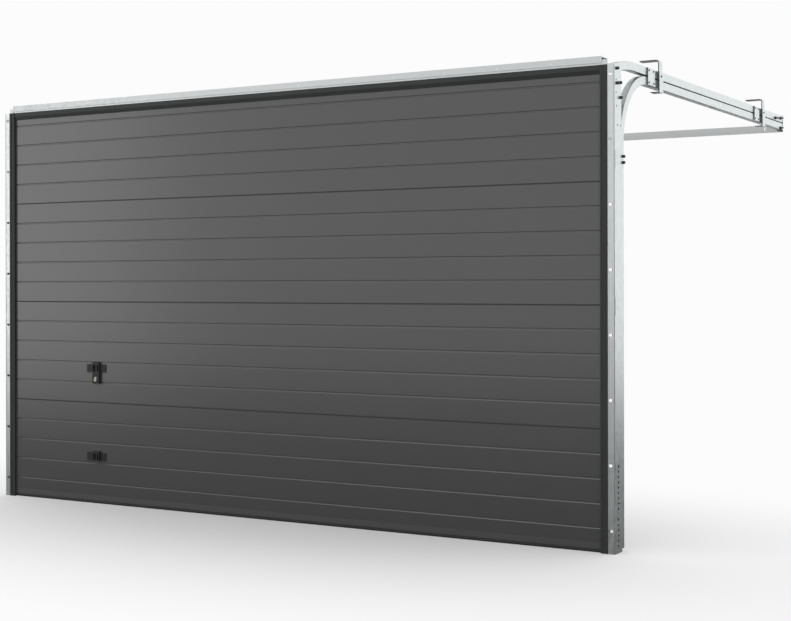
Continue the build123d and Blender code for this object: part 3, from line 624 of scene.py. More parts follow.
def repeat_at(shape: Shape, places: list[Point]) -> Shape:
    """Copies one shape to many places.

    Args:
        shape: the shape to copy.
        places: where its own origin goes.

    Returns:
        All the copies as one shape.
    """
    points, faces = shape
    centres = np.array(places, float).reshape(-1, 1, 3)
    shift = np.arange(len(centres)).reshape(-1, 1, 1) * len(points)
    return (centres + points[None]).reshape(-1, 3), (faces[None] + shift).reshape(-1, 4)


def joined(*shapes: Shape) -> Shape:
    """Puts several shapes into one.

    Args:
        *shapes: the shapes to join.

    Returns:
        One shape with all their points and quads.
    """
    starts = np.cumsum([0] + [len(points) for points, _ in shapes[:-1]])
    return (
        np.concatenate([points for points, _ in shapes]),
        np.concatenate([faces + start for (_, faces), start in zip(shapes, starts)]),
    )


def both_sides(shape: Shape) -> Shape:
    """Adds the mirror image across the door's centre line.

    Args:
        shape: the shape on one side.

    Returns:
        The shape and its image as one shape.
    """
    points, faces = shape
    return joined(shape, (points * (-1, 1, 1), faces[:, ::-1]))


def carried(path: np.ndarray, outline: np.ndarray, side: Point) -> Shape:
    """A closed outline carried along a path, with both ends closed.

    The point at path place s and outline place t is the path's point plus outline x times the side
    direction plus outline y times the direction square to both side and tangent. The first and
    last ring shrink to the path.

    Args:
        path: points of the path.
        outline: points of the outline in its own plane.
        side: direction of the outline's x, square to the path all along.

    Returns:
        The carried shape.
    """
    tangent = np.gradient(path, axis=0)
    tangent /= np.linalg.norm(tangent, axis=1, keepdims=True)
    across = np.broadcast_to(np.array(side, float), path.shape)
    upright = np.cross(tangent, across)
    upright /= np.linalg.norm(upright, axis=1, keepdims=True)
    rings = (
        path[:, None]
        + outline[None, :, :1] * across[:, None]
        + outline[None, :, 1:] * upright[:, None]
    )
    first, last = (np.broadcast_to(end, rings[:1].shape) for end in (path[0], path[-1]))
    rings = np.concatenate([first, rings, last])
    return rings.reshape(-1, 3), grid_faces(len(rings), len(outline))


def bar(start: Point, end: Point, outline: np.ndarray, side: Point, rings: int = 12) -> Shape:
    """A straight bar: an outline carried from one point to another.

    Args:
        start: the point where it starts.
        end: the point where it ends.
        outline: points of the outline in its own plane.
        side: direction of the outline's x, square to the bar.
        rings: rings of points along the bar.

    Returns:
        The bar.
    """
    return carried(np.linspace(start, end, rings), outline, side)


def round_outline(radius: float, sides: int = 8) -> np.ndarray:
    """Outline of a round bar: radius times cosine and sine.

    Args:
        radius: the bar's radius.
        sides: points round it.

    Returns:
        The outline's points.
    """
    angle = np.arange(sides) * 2 * np.pi / sides
    return radius * np.stack([np.cos(angle), np.sin(angle)], axis=1)


def flat_outline(width: float, gauge: float) -> np.ndarray:
    """Outline of a flat bar: the four corners of a rectangle.

    Args:
        width: its size along the outline's x.
        gauge: its size along the outline's y.

    Returns:
        The outline's points.
    """
    return np.array([(-1, -1), (1, -1), (1, 1), (-1, 1)]) * (width / 2, gauge / 2)


def bent_path(corners: list[Point], radius: float, steps: int = 6) -> np.ndarray:
    """A path of straight runs with rounded corners.

    At each inner corner the path leaves the runs one radius before it and follows the curve
    (1-t)(1-t) start + 2t(1-t) corner + tt end for t from 0 to 1.

    Args:
        corners: the path's ends and the sharp corners between them.
        radius: how far before a corner the curve starts.
        steps: points on each curve.

    Returns:
        The path's points.
    """
    sharp = np.array(corners, float)
    pieces = [sharp[:1]]
    t = np.linspace(0, 1, steps)[:, None]
    for before, corner, after in zip(sharp[:-2], sharp[1:-1], sharp[2:]):
        start = corner + radius * (before - corner) / np.linalg.norm(before - corner)
        end = corner + radius * (after - corner) / np.linalg.norm(after - corner)
        pieces.append((1 - t) ** 2 * start + 2 * t * (1 - t) * corner + t**2 * end)
    pieces.append(sharp[-1:])
    return np.concatenate(pieces)


def pillow(size: Point, power: float = PAD_POWER, rings: int = 9, sides: int = 32) -> Shape:
    """A flat-bottomed pad with rounded corners, standing on its own XY plane.

    At ring s and angle a, x and y are the half sizes times s times the cosine and sine raised to
    2 over power, and the height falls as the square root of 1 - s to the fourth. The last ring
    lies on the plane and the underside closes to the middle.

    Args:
        size: length, width and height.
        power: 2 gives an ellipse, larger a squarer outline.
        rings: rings from the middle to the edge.
        sides: points round each ring.

    Returns:
        The pad.
    """
    angle = np.arange(sides) * 2 * np.pi / sides
    c, s = np.cos(angle), np.sin(angle)
    edge_x = size[0] / 2 * np.sign(c) * np.abs(c) ** (2 / power)
    edge_y = size[1] / 2 * np.sign(s) * np.abs(s) ** (2 / power)
    part = np.sin(np.linspace(0, np.pi / 2, rings))[:, None]
    height = size[2] * np.sqrt(np.clip(1 - part**4, 0, 1)) * np.ones(sides)
    top = np.stack([part * edge_x, part * edge_y, height], axis=-1)
    points = np.concatenate([top, np.zeros((1, sides, 3))])
    return points.reshape(-1, 3), grid_faces(rings + 1, sides)


def hook_hole(row: int, foot: float = 30.0, pitch: float = 21.4) -> float:
    """Height of one row of holes for the springs' hooks, in millimetres from the floor.

    Args:
        row: the row's number, from 0 at the foot of the post.
        foot: the height of the lowest row.
        pitch: the distance between rows.

    Returns:
        The row's height.
    """
    return foot + pitch * row


def add_piece(
    name: str, shape: Shape, finish: Finish, smooth: bool = False
) -> bpy.types.Object:
    """Makes one piece of the door.

    The object stays at the origin with its place in its mesh. Points that coincide are merged,
    which closes the poles, and faces are turned outwards.

    Args:
        name: the piece's name.
        shape: its points and quads, in millimetres with heights from the floor.
        finish: its material.
        smooth: whether curved faces are shaded smooth, with edges over 35 degrees kept sharp.

    Returns:
        The new object.
    """
    points, faces = shape
    metres = points / MILLIMETRES - (0, 0, FLOOR_DROP)
    mesh = bpy.data.meshes.new(name)
    mesh.vertices.add(len(metres))
    mesh.vertices.foreach_set("co", metres.astype(np.float32).ravel())
    mesh.loops.add(faces.size)
    mesh.loops.foreach_set("vertex_index", faces.astype(np.int32).ravel())
    mesh.polygons.add(len(faces))
    mesh.polygons.foreach_set("loop_start", np.arange(0, faces.size, 4, dtype=np.int32))
    mesh.update(calc_edges=True)
    work = bmesh.new()
    work.from_mesh(mesh)
    bmesh.ops.remove_doubles(work, verts=work.verts, dist=MERGE_WITHIN)
    bmesh.ops.dissolve_degenerate(work, edges=work.edges, dist=EMPTY_UNDER)
    bmesh.ops.recalc_face_normals(work, faces=work.faces)
    for edge in work.edges:
        edge.smooth = len(edge.link_faces) == 2 and edge.calc_face_angle(0.0) < SHARP_EDGE
    for face in work.faces:
        face.smooth = smooth
    work.to_mesh(mesh)
    work.free()
    mesh.materials.append(finish.material)
    piece = bpy.data.objects.new(name, mesh)
    bpy.context.scene.collection.objects.link(piece)
    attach(piece, "root")
    log.info("%s: %d faces, %s", name, len(mesh.polygons), finish.value.name)
    return piece


@dataclass(frozen=True)
class HexBolt:
    """A hexagon head on its washer, with an optional bare shank past it, in millimetres.

    The head's sides are straight over a share of its height, and its top is a share of its width.
    The shank's thread and tip are shares of the head's width too.
    """

    across: float
    head: float
    washer: float
    shank: float = 0.0
    washer_gauge: float = 1.5
    straight: float = 0.85
    top: float = 0.88
    thread: float = 0.5
    tip: float = 0.4
    tip_height: float = 1.0

    @property
    def shape(self) -> Shape:
        """The bolt as a turned profile in which rings 3 and 4 are the hexagon.

        Returns:
            The bolt, standing along Z from its plate.
        """
        flat, crown = self.across / 2, self.washer_gauge + self.head
        profile = [
            (0, 0),
            (self.washer, 0),
            (self.washer, self.washer_gauge),
            (flat, self.washer_gauge),
            (flat, self.washer_gauge + self.straight * self.head),
            (self.top * flat, crown),
        ]
        if self.shank:
            end = crown + self.shank
            profile += [
                (self.thread * flat, crown),
                (self.thread * flat, end - self.tip_height),
                (self.tip * flat, end),
            ]
        return turned([*profile, (0, profile[-1][1])], hexagon=(3, 4))


@dataclass(frozen=True)
class PanScrew:
    """A low round head in millimetres, with an upright rim under a quarter-round dome."""

    radius: float
    height: float
    rim: float = 0.3
    steps: int = 5
    sides: int = 10

    @property
    def shape(self) -> Shape:
        """The head as a turned profile.

        At angle a of the dome the ring's radius is the radius times cos a, and its height is the
        head's height times the rim plus the rest times sin a.

        Returns:
            The head, standing along Z from its plate.
        """
        quarter = np.linspace(0, np.pi / 2, self.steps)[:-1]
        dome = [
            (self.radius * math.cos(a), self.height * (self.rim + (1 - self.rim) * math.sin(a)))
            for a in quarter
        ]
        return turned([(0, 0), (self.radius, 0), *dome, (0, self.height)], self.sides)


@dataclass
class FrameFasteners:
    """Bolts, screws and rivets of the frame and the rails, in millimetres, with dark discs and rings
    as painted shade in the webs' holes and pale pads as painted light in the lintel's slots.

    A place on a web is a depth and a height. Two rows of hook holes have no ring of painted shade,
    one of them the row that the springs' hooks go through.
    """

    web: float = WEB_FACE
    track_web: float = 1672.0
    splice_face: float = 1678.0
    hanger_face: float = 1684.0
    bolt: HexBolt = HexBolt(across=11.0, head=9.5, washer=6.8)
    web_bolts: tuple[Pair, ...] = ((23, 1954), (26, 1895), (55, 1899), (63, 1840))
    track_bolts: tuple[Pair, ...] = ((92, 1604), (92, 1579))
    rail_end_bolt: HexBolt = HexBolt(across=13.0, head=6.5, washer=9.0, shank=11.0)
    rail_end_bolts: tuple[Pair, ...] = ((2432, 1987), (2432, 1934), (2331, 1979))
    splice_screw: PanScrew = PanScrew(radius=4.2, height=3.0)
    splice_middles: tuple[float, ...] = (413.0, 1970.0)
    splice_reach: Pair = (28.0, 26.0)
    splice_height: float = 1965.0
    rivet: PanScrew = PanScrew(radius=5.0, height=3.0)
    hanger_middles: tuple[float, ...] = (519.0, 2076.0)
    rivet_height: float = 1980.0
    # Dark discs on the webs that stand in for the shade inside their small holes: painted shade.
    web_hole_shade: PanScrew = PanScrew(radius=3.8, height=0.8)
    web_hole_shades: tuple[Pair, ...] = ((18, 1908), (18, 1856), (22, 1802), (34, 1727), (69, 1726))
    # Dark rubber rings inside the hook holes, whose walls show through them as painted shade.
    hole_shade_ring: tuple[Pair, ...] = (
        (2.6, -1.8),
        (3.8, -1.8),
        (3.8, 0.0),
        (5.6, 0.0),
        (5.0, 1.0),
        (2.6, 1.0),
    )
    hole_shade_depth: float = SPRING_DEPTH
    hole_shade_rows: int = 16
    bare_rows: tuple[int, ...] = (6, HOOK_ROW)
    # Pale pads in the lintel's slots that stand in for the light seen through them: painted light.
    lintel_slot_light: Point = (4.8, 11.8, 0.8)
    first_lintel_slot: float = -1350.0
    lintel_slot_pitch: float = 250.0
    lintel_slot_count: int = 12
    lintel_slot_height: float = 1986.0

    def build(self) -> None:
        """Adds every fastener of the frame."""
        bolts = [(self.web, *place) for place in self.web_bolts]
        bolts += [(self.track_web, *place) for place in self.track_bolts]
        self.add("frame_bolts", self.bolt.shape, bolts)
        bolts = [(self.track_web, *place) for place in self.rail_end_bolts]
        self.add("rail_end_bolts", self.rail_end_bolt.shape, bolts)
        along, up = self.splice_reach
        corners = [
            (self.splice_face, middle + side * along, self.splice_height + rise * up)
            for middle in self.splice_middles
            for side in (-1, 1)
            for rise in (-1, 1)
        ]
        self.add("splice_screws", self.splice_screw.shape, corners)
        heads = [(self.hanger_face, middle, self.rivet_height) for middle in self.hanger_middles]
        self.add("hanger_rivets", self.rivet.shape, heads)
        self.add_hole_light_and_shade()

    def add_hole_light_and_shade(self) -> None:
        """Adds dark discs in the webs' holes and dark rings in the hook holes as painted shade, and
        pale pads in the lintel's slots as painted light.
        """
        places = [(self.web, *place) for place in self.web_hole_shades]
        self.add("web_hole_shades", self.web_hole_shade.shape, places, Finish.RUBBER, "seal_rubber")
        rows = [row for row in range(self.hole_shade_rows) if row not in self.bare_rows]
        places = [(self.web, self.hole_shade_depth, hook_hole(row)) for row in rows]
        ring = turned_ring(self.hole_shade_ring)
        self.add("hook_hole_shade_rings", ring, places, Finish.RUBBER, "seal_rubber", smooth=False)
        slot_light = stand_on(pillow(self.lintel_slot_light, rings=4, sides=16), (0, -1, 0))
        slots = self.first_lintel_slot + self.lintel_slot_pitch * np.arange(self.lintel_slot_count)
        places = [(x, 0, self.lintel_slot_height) for x in slots]
        add_piece("lintel_slot_lights", repeat_at(slot_light, places), Finish.PLUG, smooth=True)

    def add(
        self,
        name: str,
        shape: Shape,
        places: list[Point],
        finish: Finish = Finish.BOLT,
        slot: str = "zinc_plated",
        smooth: bool = True,
    ) -> None:
        """Adds one set of fasteners that stand outwards on the right side, and its mirror image.

        Args:
            name: the set's name.
            shape: one fastener, standing along Z.
            places: where they stand on the right side.
            finish: their material.
            slot: a material slot's name; not used.
            smooth: whether they are shaded smooth.
        """
        outward = stand_on(shape, (1, 0, 0))
        add_piece(name, both_sides(repeat_at(outward, places)), finish, smooth)


@dataclass
class HingeScrews:
    """Screws of the side hinges, centre hinges and brackets on the curtain's garage side.

    All sizes are in millimetres.
    """

    screw: HexBolt = HexBolt(across=8.0, head=4.0, washer=6.5)
    joints: tuple[float, ...] = JOINTS
    offsets: tuple[float, ...] = (-56.0, -26.0, 20.0, 42.0)
    side_columns: Pair = (1581.0, 1607.0)
    side_face: float = 54.0
    centre_columns: tuple[float, ...] = (-812.0, -788.0, -12.0, 12.0, 788.0, 812.0)
    centre_face: float = 52.5
    foot_heights: tuple[float, ...] = (58.0, 128.0)
    carrier_heights: tuple[float, ...] = (1915.0, 1985.0)

    def build(self) -> None:
        """Adds the screws of each row of hinges."""
        screw = stand_on(self.screw.shape, (0, 1, 0))
        heights = [joint + offset for joint in self.joints for offset in self.offsets]
        side = [
            (x, self.side_face, z)
            for x in self.side_columns
            for z in (*heights, *self.foot_heights, *self.carrier_heights)
        ]
        centre = [(x, self.centre_face, z) for x in self.centre_columns for z in heights]
        for name, screws in (
            ("side_hinge_screws", both_sides(repeat_at(screw, side))),
            ("centre_hinge_screws", repeat_at(screw, centre)),
        ):
            add_piece(name, screws, Finish.ZINC)


@dataclass
class SpringPair:
    """The two side springs with their coils, hooks and cable sleeves, in millimetres.

    The coil narrows to the share end_radius over the last end_turns at each end, where its rods
    reach in by rod_grip.
    """

    axis_x: float = 1658.0
    depth: float = SPRING_DEPTH
    bottom: float = 262.0
    top: float = 1480.0
    coil_radius: float = 9.1
    wire_radius: float = 1.4
    pitch: float = 3.4
    steps_per_turn: int = 10
    wire_sides: int = 5
    end_radius: float = 0.6
    end_turns: float = 2.0
    rod: float = 2.5
    rod_grip: float = 8.0
    rod_bend: float = 7.0
    hook_height: float = hook_hole(HOOK_ROW)
    web: float = WEB_FACE
    past_web: float = 5.0
    eye_rise: float = 18.0
    sleeve: tuple[Pair, ...] = ((0, 0), (2.6, 0), (3.2, 2), (3.2, 20), (2.6, 22), (0, 22))
    spring_sleeve_rise: float = 16.0
    cable_depth: float = 64.0
    pin_height: float = 60.0
    pin_sleeve_rise: float = 12.0

    def build(self) -> None:
        """Adds both springs in place of the plain tubes of the model, and their sleeves."""
        spring = joined(self.coil(), self.lower_hook(), self.upper_eye())
        springs = add_piece(
            "spring_coils", both_sides(spring), Finish.SPRING, smooth=True
        )
        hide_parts("springs")
        places = [
            (self.axis_x, self.depth, self.top + self.spring_sleeve_rise),
            (self.axis_x, self.cable_depth, self.pin_height + self.pin_sleeve_rise),
        ]
        sleeves = both_sides(repeat_at(turned(self.sleeve), places))
        add_piece("cable_sleeves", sleeves, Finish.BOLT, smooth=True)

    def coil(self) -> Shape:
        """A wire wound into a helix.

        At turn angle u and wire angle v the point is the axis plus (R + r cos v) times the radial
        direction of u, at height pitch times u over a full turn plus r sin v. The radius R shrinks
        towards each end.

        Returns:
            The coil of the right spring.
        """
        turns = (self.top - self.bottom) / self.pitch
        u = np.linspace(0, 2 * np.pi * turns, int(turns * self.steps_per_turn))
        v = np.arange(self.wire_sides) * 2 * np.pi / self.wire_sides
        from_end = np.clip(np.minimum(u, u[-1] - u) / (2 * np.pi * self.end_turns), 0, 1)
        radius = self.coil_radius * (self.end_radius + (1 - self.end_radius) * from_end)
        wire = np.full(len(u), self.wire_radius)
        wire[[0, -1]] = 0
        reach = radius[:, None] + wire[:, None] * np.cos(v)
        rise = self.pitch * u[:, None] / (2 * np.pi) + wire[:, None] * np.sin(v)
        points = np.stack(
            [
                self.axis_x + reach * np.cos(u)[:, None],
                self.depth + reach * np.sin(u)[:, None],
                self.bottom + rise,
            ],
            axis=-1,
        )
        return points.reshape(-1, 3), grid_faces(len(u), self.wire_sides)

    def lower_hook(self) -> Shape:
        """The rod from the coil's end down and out through the hole in the post's web.

        Returns:
            The hook of the right spring.
        """
        corners = [
            (self.axis_x, self.depth, self.bottom + self.rod_grip),
            (self.axis_x, self.depth, self.hook_height),
            (self.web + self.past_web, self.depth, self.hook_height),
        ]
        return carried(bent_path(corners, self.rod_bend), round_outline(self.rod), (0, 1, 0))

    def upper_eye(self) -> Shape:
        """The rod from the coil's top end to the cable's sleeve.

        Returns:
            The eye of the right spring.
        """
        foot = (self.axis_x, self.depth, self.top - self.rod_grip)
        head = (self.axis_x, self.depth, self.top + self.eye_rise)
        return bar(foot, head, round_outline(self.rod), (0, 1, 0), rings=4)


@dataclass
class SealBeads:
    """The raised beads that run down the faces of the side seals, in millimetres."""

    columns: Pair = (1634.5, 1641.0)
    face: float = -3.0
    bead: float = 0.8
    foot: float = 2.0
    head: float = 1967.0

    def build(self) -> None:
        """Adds the beads on both sides."""
        outline = round_outline(self.bead, sides=6)
        beads = [
            bar((x, self.face, self.foot), (x, self.face, self.head), outline, (1, 0, 0))
            for x in self.columns
        ]
        beads = both_sides(joined(*beads))
        add_piece("seal_beads", beads, Finish.RUBBER, smooth=True)


@dataclass
class ShadeLines:
    """Thin dark lines: painted shade down the posts' front corners, and rubber in the panel joints
    that is partly a gasket and partly painted shade.

    All sizes are in millimetres.
    """

    corner: Pair = (1672.2, -0.1)
    corner_ends: Pair = (1.0, 1966.0)
    corner_width: float = 1.6
    gauge: float = 0.5
    joints: tuple[float, ...] = JOINTS
    joint_rise: float = 0.75
    joint_half: float = 1610.0
    joint_face: float = 9.9
    joint_height: float = 6.0
    rings: int = 8

    def build(self) -> None:
        """Adds a line of painted shade on both posts' corners and one strip, partly painted shade,
        in each joint of the curtain.
        """
        foot, head = ((*self.corner, height) for height in self.corner_ends)
        outline = flat_outline(self.corner_width, self.gauge)
        corner = both_sides(bar(foot, head, outline, (1, 0, 0), self.rings))
        # A dark strip on each post's front corner: painted shade.
        add_piece("post_corner_shade_lines", corner, Finish.BOLT)
        outline = flat_outline(self.gauge, self.joint_height)
        strips = []
        for joint in self.joints:
            left, right = (
                (end, self.joint_face, joint + self.joint_rise)
                for end in (-self.joint_half, self.joint_half)
            )
            strips.append(bar(left, right, outline, (0, 1, 0), self.rings))
        # Rubber in each joint, partly a gasket and partly painted shade that darkens the joint.
        add_piece("joint_gasket_shade_strips", joined(*strips), Finish.RUBBER)


@dataclass
class HandleTrim:
    """Lock cover, a dark pad as painted shade in the key slot, and screws of the two plates on the
    street side, in millimetres.
    """

    lock_x: float = -1062.5
    block_face: float = -3.0
    cylinder_face: float = -7.0
    lock_height: float = 615.0
    cover: Point = (15.0, 28.0, 2.2)
    # A dark pad on the cylinder's face that stands in for the shade in its key slot: painted shade.
    keyway_shade: Point = (2.6, 9.0, 0.5)
    screw: PanScrew = PanScrew(radius=3.5, height=2.2)
    plate_face: float = 6.0
    screw_columns: Pair = (-1117.0, -1013.0)
    plate_heights: Pair = (HANDLE_HEIGHT, 233.0)

    def build(self) -> None:
        """Adds the cover, the dark pad of painted shade in the key slot and four screws."""
        self.add_pad("lock_cover", self.cover, self.block_face, Finish.LOCK)
        self.add_pad("keyway_shade", self.keyway_shade, self.cylinder_face, Finish.HANDLE)
        screw = stand_on(self.screw.shape, (0, -1, 0))
        places = [
            (x, self.plate_face, height)
            for x in self.screw_columns
            for height in self.plate_heights
        ]
        screws = repeat_at(screw, places)
        add_piece("handle_screws", screws, Finish.HANDLE, smooth=True)

    def add_pad(self, name: str, size: Point, face: float, finish: Finish) -> None:
        """Adds one rounded pad at the lock, standing towards the street.

        Args:
            name: the pad's name.
            size: its width, its height and how far it stands out.
            face: the depth of the face that it stands on.
            finish: its material.
        """
        pad = stand_on(pillow(size), (0, -1, 0))
        place = (self.lock_x, face, self.lock_height)
        add_piece(name, repeat_at(pad, [place]), finish, smooth=True)


@dataclass
class DriveDetails:
    """Lamp cover, vents and belt of the ceiling drive, in millimetres."""

    middle_y: float = 2920.0
    lamp_seat: float = 1934.5
    lamp: Point = (130.0, 200.0, 9.0)
    lamp_power: float = 6.0
    vent_count: int = 9
    vent_pitch: float = 11.0
    vent: Point = (3.0, 52.0, 1.4)
    vent_power: float = 4.0
    side_face: float = 95.0
    vent_middle: Pair = (2870.0, 1998.0)
    belt_runs: Pair = (2036.5, 2044.5)
    belt_ends: Pair = (345.0, 2758.0)
    belt_width: float = 10.0
    belt_gauge: float = 2.0

    def build(self) -> None:
        """Adds the lamp cover under the head, the vents on its sides and the belt in the boom."""
        lamp = stand_on(pillow(self.lamp, self.lamp_power), (0, 0, -1))
        lamp = repeat_at(lamp, [(0, self.middle_y, self.lamp_seat)])
        add_piece("drive_lamp_cover", lamp, Finish.LAMP, smooth=True)
        rib = stand_on(pillow(self.vent, self.vent_power, rings=4, sides=12), (1, 0, 0))
        y, z = self.vent_middle
        first = y - (self.vent_count - 1) / 2 * self.vent_pitch
        places = [(self.side_face, first + i * self.vent_pitch, z) for i in range(self.vent_count)]
        ribs = both_sides(repeat_at(rib, places))
        add_piece("drive_vent_ribs", ribs, Finish.DRIVE, smooth=True)
        front, back = self.belt_ends
        outline = flat_outline(self.belt_width, self.belt_gauge)
        belts = [
            bar((0, front, run), (0, back, run), outline, (1, 0, 0)) for run in self.belt_runs
        ]
        add_piece("drive_belt", joined(*belts), Finish.RUBBER)


@dataclass
class LatchGuides:
    """Two strap guides that hold the latch bolt to the curtain's garage side, in millimetres."""

    columns: Pair = (-1230.0, -1480.0)
    height: float = HANDLE_HEIGHT
    face: float = 50.0
    over: float = 61.5
    reach: float = 14.0
    flange: float = 26.0
    width: float = 18.0
    gauge: float = 2.0
    bend: float = 4.0

    def build(self) -> None:
        """Adds both guides as flat bars bent over the bolt."""
        seat = self.face + self.gauge / 2
        profile = (
            (seat, -self.flange),
            (seat, -self.reach),
            (self.over, -self.reach),
            (self.over, self.reach),
            (seat, self.reach),
            (seat, self.flange),
        )
        outline = flat_outline(self.width, self.gauge)
        guides = []
        for x in self.columns:
            corners = [(x, y, self.height + rise) for y, rise in profile]
            guides.append(carried(bent_path(corners, self.bend), outline, (1, 0, 0)))
        add_piece("latch_guides", joined(*guides), Finish.ZINC)


@dataclass(frozen=True)
class Softbox:
    """One soft rectangular lamp that points at a target, in metres and watts."""

    name: str
    place: Point
    target: Point
    size: Pair
    power: float

    def build(self) -> None:
        """Hangs the lamp and turns it to its target."""
        data = bpy.data.lights.new(self.name, "AREA")
        data.shape = "RECTANGLE"
        data.size, data.size_y = self.size
        data.energy = self.power
        lamp = bpy.data.objects.new(self.name, data)
        lamp.location = self.place
        x, y, z = np.subtract(self.target, self.place)
        lamp.rotation_euler = (
            math.atan2(math.hypot(x, y), -z),
            0,
            math.atan2(y, x) - math.pi / 2,
        )
        bpy.context.scene.collection.objects.link(lamp)


@dataclass(frozen=True)
class PhotoCamera:
    """The level camera that the photograph was solved to.

    The place is in metres, the turns in degrees, the sensor in millimetres, and the focal length
    and the middle's offsets in pixels of the photograph.
    """

    place: Point = (3.84085, -5.466, 1.090 - FLOOR_DROP)
    yaw: float = 30.2
    roll: float = -0.105
    photo_width: int = 791
    focal_length: float = 1450.8
    axis_offset: float = 0.5
    horizon_offset: float = 27.2
    sensor_width: float = 36.0
    sees_to: float = 200.0

    def build(self) -> None:
        """Sets the camera up as the scene's own."""
        data = bpy.data.cameras.new("photo camera")
        data.sensor_width = self.sensor_width
        data.lens = self.sensor_width * self.focal_length / self.photo_width
        data.shift_x = -self.axis_offset / self.photo_width
        data.shift_y = -self.horizon_offset / self.photo_width
        data.clip_end = self.sees_to
        camera = bpy.data.objects.new("photo camera", data)
        turn = Matrix.Rotation(math.radians(self.yaw), 4, "Z")
        upright = Matrix.Rotation(math.pi / 2, 4, "X")
        roll = Matrix.Rotation(math.radians(self.roll), 4, "Z")
        camera.matrix_world = Matrix.Translation(self.place) @ turn @ upright @ roll
        bpy.context.scene.collection.objects.link(camera)
        bpy.context.scene.camera = camera


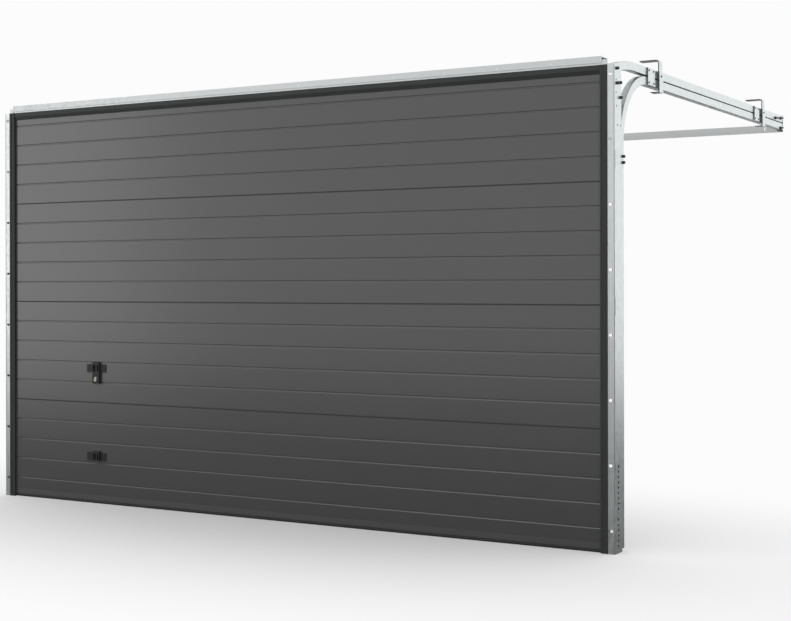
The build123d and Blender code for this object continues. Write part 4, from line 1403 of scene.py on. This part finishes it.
@dataclass
class Studio:
    """Pale floor, white surroundings, soft lamps and the camera of the photograph.

    The fades are distances from the door's foot in metres, of which those along the door count
    for the share along_door.
    """

    floor_half: float = 60.0
    floor_near: str = "d3d3d3"
    floor_grey: str = "484848"
    floor_roughness: float = 0.9
    floor_specular: float = 0.2
    backdrop: str = "fcfcfc"
    along_door: float = 0.45
    seen_fade: Pair = (0.2, 2.2)
    gloss_fade: Pair = (4.5, 11.5)
    front_gloss: float = 0.83
    back_gloss: float = 1.0
    gloss_turn: Pair = (-0.9, 0.4)
    soft_level: float = 1.3
    camera: PhotoCamera = PhotoCamera()
    lamps: tuple[Softbox, ...] = (
        Softbox("left softbox", (-5.9, -4.2, 0.0), (-1.0, 0.0, -0.6), (2.5, 4.0), 25.0),
        Softbox("top lamp", (-1.2, -3.5, 5.0), (-0.3, 0.2, -1.2), (6.0, 4.0), 38.0),
    )

    def build(self) -> None:
        """Makes the floor, the world, the lamps and the camera."""
        self.make_floor()
        self.make_world()
        for lamp in self.lamps:
            lamp.build()
        self.camera.build()
        bpy.context.scene.view_settings.view_transform = "Standard"

    def make_floor(self) -> None:
        """Lays one flat square on the floor line."""
        h, z = self.floor_half, -FLOOR_DROP
        mesh = bpy.data.meshes.new("floor")
        mesh.from_pydata([(-h, -h, z), (h, -h, z), (h, h, z), (-h, h, z)], [], [(0, 1, 2, 3)])
        floor = bpy.data.objects.new("floor", mesh)
        bpy.context.scene.collection.objects.link(floor)
        mesh.materials.append(self.floor_material())

    def floor_material(self) -> bpy.types.Material:
        """Painted floor that takes the door's shadow and runs out into the white backdrop.

        The distance from the door's foot blends the lit paint into the backdrop's white, near the
        door for the camera and further out for glossy surfaces. Only the camera sees the pale
        paint: what the floor throws back on the door is a studio grey.

        Returns:
            The new material.
        """
        material, tree, shader = start_material(
            "matt painted floor",
            Roughness=self.floor_roughness,
            Specular_IOR_Level=self.floor_specular,
        )
        path = add_node(tree, "ShaderNodeLightPath")
        tone = add_node(
            tree,
            "ShaderNodeMix",
            {
                0: path.outputs["Is Camera Ray"],
                COLOUR_A: linear(self.floor_grey),
                COLOUR_B: linear(self.floor_near),
            },
            data_type="RGBA",
        )
        tree.links.new(tone.outputs[MIXED_COLOUR], shader.inputs["Base Color"])
        space = add_node(tree, "ShaderNodeTexCoord").outputs["Object"]
        flat = add_node(
            tree, "ShaderNodeMapping", {"Vector": space, "Scale": (self.along_door, 1.0, 0.0)}
        )
        distance = add_node(
            tree, "ShaderNodeVectorMath", {0: flat.outputs["Vector"]}, operation="LENGTH"
        )
        shares = []
        for ray, (start, end) in (
            ("Is Camera Ray", self.seen_fade),
            ("Is Glossy Ray", self.gloss_fade),
        ):
            fade = add_node(
                tree,
                "ShaderNodeMapRange",
                {"Value": distance.outputs["Value"], "From Min": start, "From Max": end},
                interpolation_type="SMOOTHSTEP",
            )
            part = add_node(
                tree,
                "ShaderNodeMath",
                {0: fade.outputs["Result"], 1: path.outputs[ray]},
                operation="MULTIPLY",
            )
            shares.append(part.outputs[0])
        share = add_node(tree, "ShaderNodeMath", dict(enumerate(shares)), operation="MAXIMUM")
        white = add_node(tree, "ShaderNodeEmission", {"Color": linear(self.backdrop)})
        mixed = add_node(
            tree,
            "ShaderNodeMixShader",
            {0: share.outputs[0], 1: shader.outputs[0], 2: white.outputs[0]},
        )
        tree.links.new(mixed.outputs[0], tree.nodes["Material Output"].inputs["Surface"])
        return material

    def make_world(self) -> None:
        """Makes the world white to the camera, near white in gloss and an even light on the door."""
        world = bpy.data.worlds.new("studio")
        world.use_nodes = True
        bpy.context.scene.world = world
        tree = world.node_tree
        back = tree.nodes["Background"]
        back.inputs["Color"].default_value = linear(self.backdrop)
        path = add_node(tree, "ShaderNodeLightPath")
        looking = add_node(tree, "ShaderNodeTexCoord").outputs["Generated"]
        direction = add_node(tree, "ShaderNodeSeparateXYZ", {0: looking})
        start, full = self.gloss_turn
        gloss = add_node(
            tree,
            "ShaderNodeMapRange",
            {
                "Value": direction.outputs["Y"],
                "From Min": start,
                "From Max": full,
                "To Min": self.front_gloss,
                "To Max": self.back_gloss,
            },
        )
        soft = add_node(
            tree,
            "ShaderNodeMix",
            {
                0: path.outputs["Is Glossy Ray"],
                FLOAT_A: self.soft_level,
                FLOAT_B: gloss.outputs["Result"],
            },
        )
        strength = add_node(
            tree,
            "ShaderNodeMix",
            {0: path.outputs["Is Camera Ray"], FLOAT_A: soft.outputs[0], FLOAT_B: 1.0},
        )
        tree.links.new(strength.outputs[0], back.inputs["Strength"])


def main() -> None:
    """Loads the model, dresses it and sets up the studio."""
    logging.basicConfig(level=logging.INFO, format="%(message)s")
    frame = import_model()
    dress_nodes(frame["nodes"])
    for assembly in (
        FrameFasteners(),
        HingeScrews(),
        SpringPair(),
        SealBeads(),
        ShadeLines(),
        HandleTrim(),
        DriveDetails(),
        LatchGuides(),
    ):
        assembly.build()
    Studio().build()


if __name__ == "__main__":
    main()
